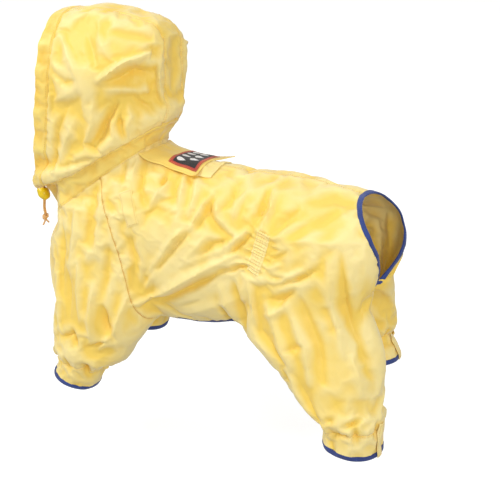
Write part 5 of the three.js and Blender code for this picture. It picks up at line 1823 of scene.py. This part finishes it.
def cord_path(side, number):
    y = LOCK["y"] + side * CORD_SIZE["apart"]
    x, z, knot = LOCK["x"], LOCK["z"], CORD_SIZE["knot"]
    control = np.array([
        (x + 9, y, CORD_SIZE["top"]), (x + 2, y, z + 13), (x, y, z + 6), (x, y, z - 8),
        (x - 1, y, (z + knot) / 2 - 4), (x, y, knot + 5), (x, y, knot - 5),
        (x + side * 2, y + side * CORD_SIZE["spread"], CORD_SIZE["end"] + number * 2),
    ], float)
    places = run_along(control)
    at = np.linspace(0, places[-1], CORD_SIZE["steps"] + 1)
    return np.stack([column(np.stack([places, control[:, a]], 1), 1, at) for a in range(3)], 1)


lock_axis = np.array([-math.sin(LOCK["tilt"]), 0, math.cos(LOCK["tilt"])])


def make_lock():
    """The egg-shaped barrel, spun from its profile, and the button in its top."""
    made = []
    side = unit(np.cross(lock_axis, UP))
    front = np.cross(side, lock_axis)
    centre = np.array([LOCK["x"], LOCK["y"], LOCK["z"]], float)
    around = LOCK["sides"]
    for name, profile, node in (
        ("lock_barrel", BARREL, "cord_lock"), ("lock_button", BUTTON, "cord_lock_button"),
    ):
        points, faces = [], []
        for a, b in circle(1, around):
            points += [centre + (side * a + front * b) * r + lock_axis * h for r, h in profile]
        n = len(profile)
        for i in range(around):
            j = (i + 1) % around
            faces += [[i * n + k, j * n + k, j * n + k + 1, i * n + k + 1] for k in range(n - 1)]
        faces.append([i * n for i in range(around)][::-1])
        faces.append([i * n + n - 1 for i in range(around)])
        obj = mesh_object(name, points, faces)
        face_outwards(obj)
        bpy.ops.mesh.primitive_cylinder_add(
            vertices=32, radius=LOCK["bore"] * MM, depth=60 * MM, location=centre * MM)
        hole = bpy.context.active_object
        bore = obj.modifiers.new("bore", "BOOLEAN")
        bore.operation = "DIFFERENCE"
        bore.solver = "EXACT"
        bore.object = hole
        only(obj)
        bpy.ops.object.modifier_apply(modifier="bore")
        bpy.data.objects.remove(hole)
        round_edges(obj, LOCK["edge"], 42)
        apply_all(obj)
        set_smooth(obj, 35)
        made.append(finish_piece(obj, LOCK_YELLOW, "lock_plastic", node))
    return made


lock_pieces = make_lock()


KNOT = dict(radius=3.1, high=4.6, wave=0.8, turns=1.85, steps=64, cord=1.55, sides=10)


def make_knot():
    """A knot: the doubled cord, wound nearly twice round itself."""
    at = np.linspace(0, 2 * np.pi * KNOT["turns"], KNOT["steps"])
    path = np.stack([
        LOCK["x"] + KNOT["radius"] * np.cos(at), LOCK["y"] + KNOT["radius"] * np.sin(at),
        CORD_SIZE["knot"] + KNOT["high"] * (0.5 - at / at[-1]) + KNOT["wave"] * np.sin(at),
    ], 1)
    along = tangents(path, False)
    out = unit(np.stack([np.cos(at), np.sin(at), 0 * at], 1))
    side = unit(np.cross(along, out))
    ring = circle(KNOT["cord"], KNOT["sides"])
    return swept("cord_knot", path, side, np.cross(side, along), ring, False, CORD, "drawcord",
                 "drawcord_knot")


knot = make_knot()


def make_cord(name, path, node):
    along = tangents(path, False)
    side = unit(np.cross(along, np.array([0.0, 1.0, 0.05])))
    radius = CORD_SIZE["radius"]
    ring = circle(radius, CORD_SIZE["sides"])
    obj = swept(name, path, side, np.cross(side, along), ring, False, CORD, "drawcord", node)


make_cord("cord_near", cord_path(-1, 0), "drawcord_1")
make_cord("cord_far", cord_path(1, 1), "drawcord_2")

# The area of cloth each panel was cut from is worked out here but not used. Its small creases take up a
# little more than its finished surface.
CREASED = 1.08
for name, obj in panels.items():
    width, length = FLAT[name]
    area = CREASED * area_of(surface, triangles[names == number_of[name]])
    area = min(max(area, 0.31 * width * length), width * length)


# Floor and light: strength of the white surroundings, then place, size and power of each lamp
WORLD = 0.54
LAMPS = [((-1.8, -1.3, 1.7), 0.8, 33), ((1.7, -1.9, 0.9), 0.8, 26), ((0.0, 0.3, 3.2), 2.6, 18)]


def make_stage():
    scene = bpy.context.scene
    scene.view_settings.view_transform = "Standard"
    bpy.ops.object.select_all(action="DESELECT")
    bpy.ops.mesh.primitive_plane_add(size=40, location=(0, 0, -0.40))
    floor = bpy.context.active_object
    floor.name = "floor"
    material, tree, shader = new_material("floor_white", 0.95)
    shader.inputs["Base Color"].default_value = (0.5, 0.5, 0.5, 1)
    shader.inputs["Emission Color"].default_value = (1, 1, 1, 1)
    glow = tree.nodes.new("ShaderNodeLightPath")
    tree.links.new(math_node(tree, "MULTIPLY", glow.outputs["Is Camera Ray"], 0.72),
                   shader.inputs["Emission Strength"])
    floor.data.materials.append(material)
    world = scene.world or bpy.data.worlds.new("studio")
    scene.world = world
    world.use_nodes = True
    nodes, links = world.node_tree.nodes, world.node_tree.links
    background = nodes["Background"]
    background.inputs["Color"].default_value = (1, 1, 1, 1)
    rays = nodes.new("ShaderNodeLightPath")
    seen = nodes.new("ShaderNodeMath")
    seen.operation = "MULTIPLY_ADD"
    seen.inputs[1].default_value = 1 - WORLD
    seen.inputs[2].default_value = WORLD
    links.new(rays.outputs["Is Camera Ray"], seen.inputs[0])
    links.new(seen.outputs[0], background.inputs["Strength"])
    for place, size, power in LAMPS:
        light = bpy.data.lights.new("softbox", "AREA")
        light.size = size
        light.energy = power
        obj = bpy.data.objects.new("softbox", light)
        obj.location = place
        towards = Vector((0, 0, -0.1)) - Vector(place)
        obj.rotation_euler = towards.to_track_quat("-Z", "Y").to_euler()
        scene.collection.objects.link(obj)


make_stage()
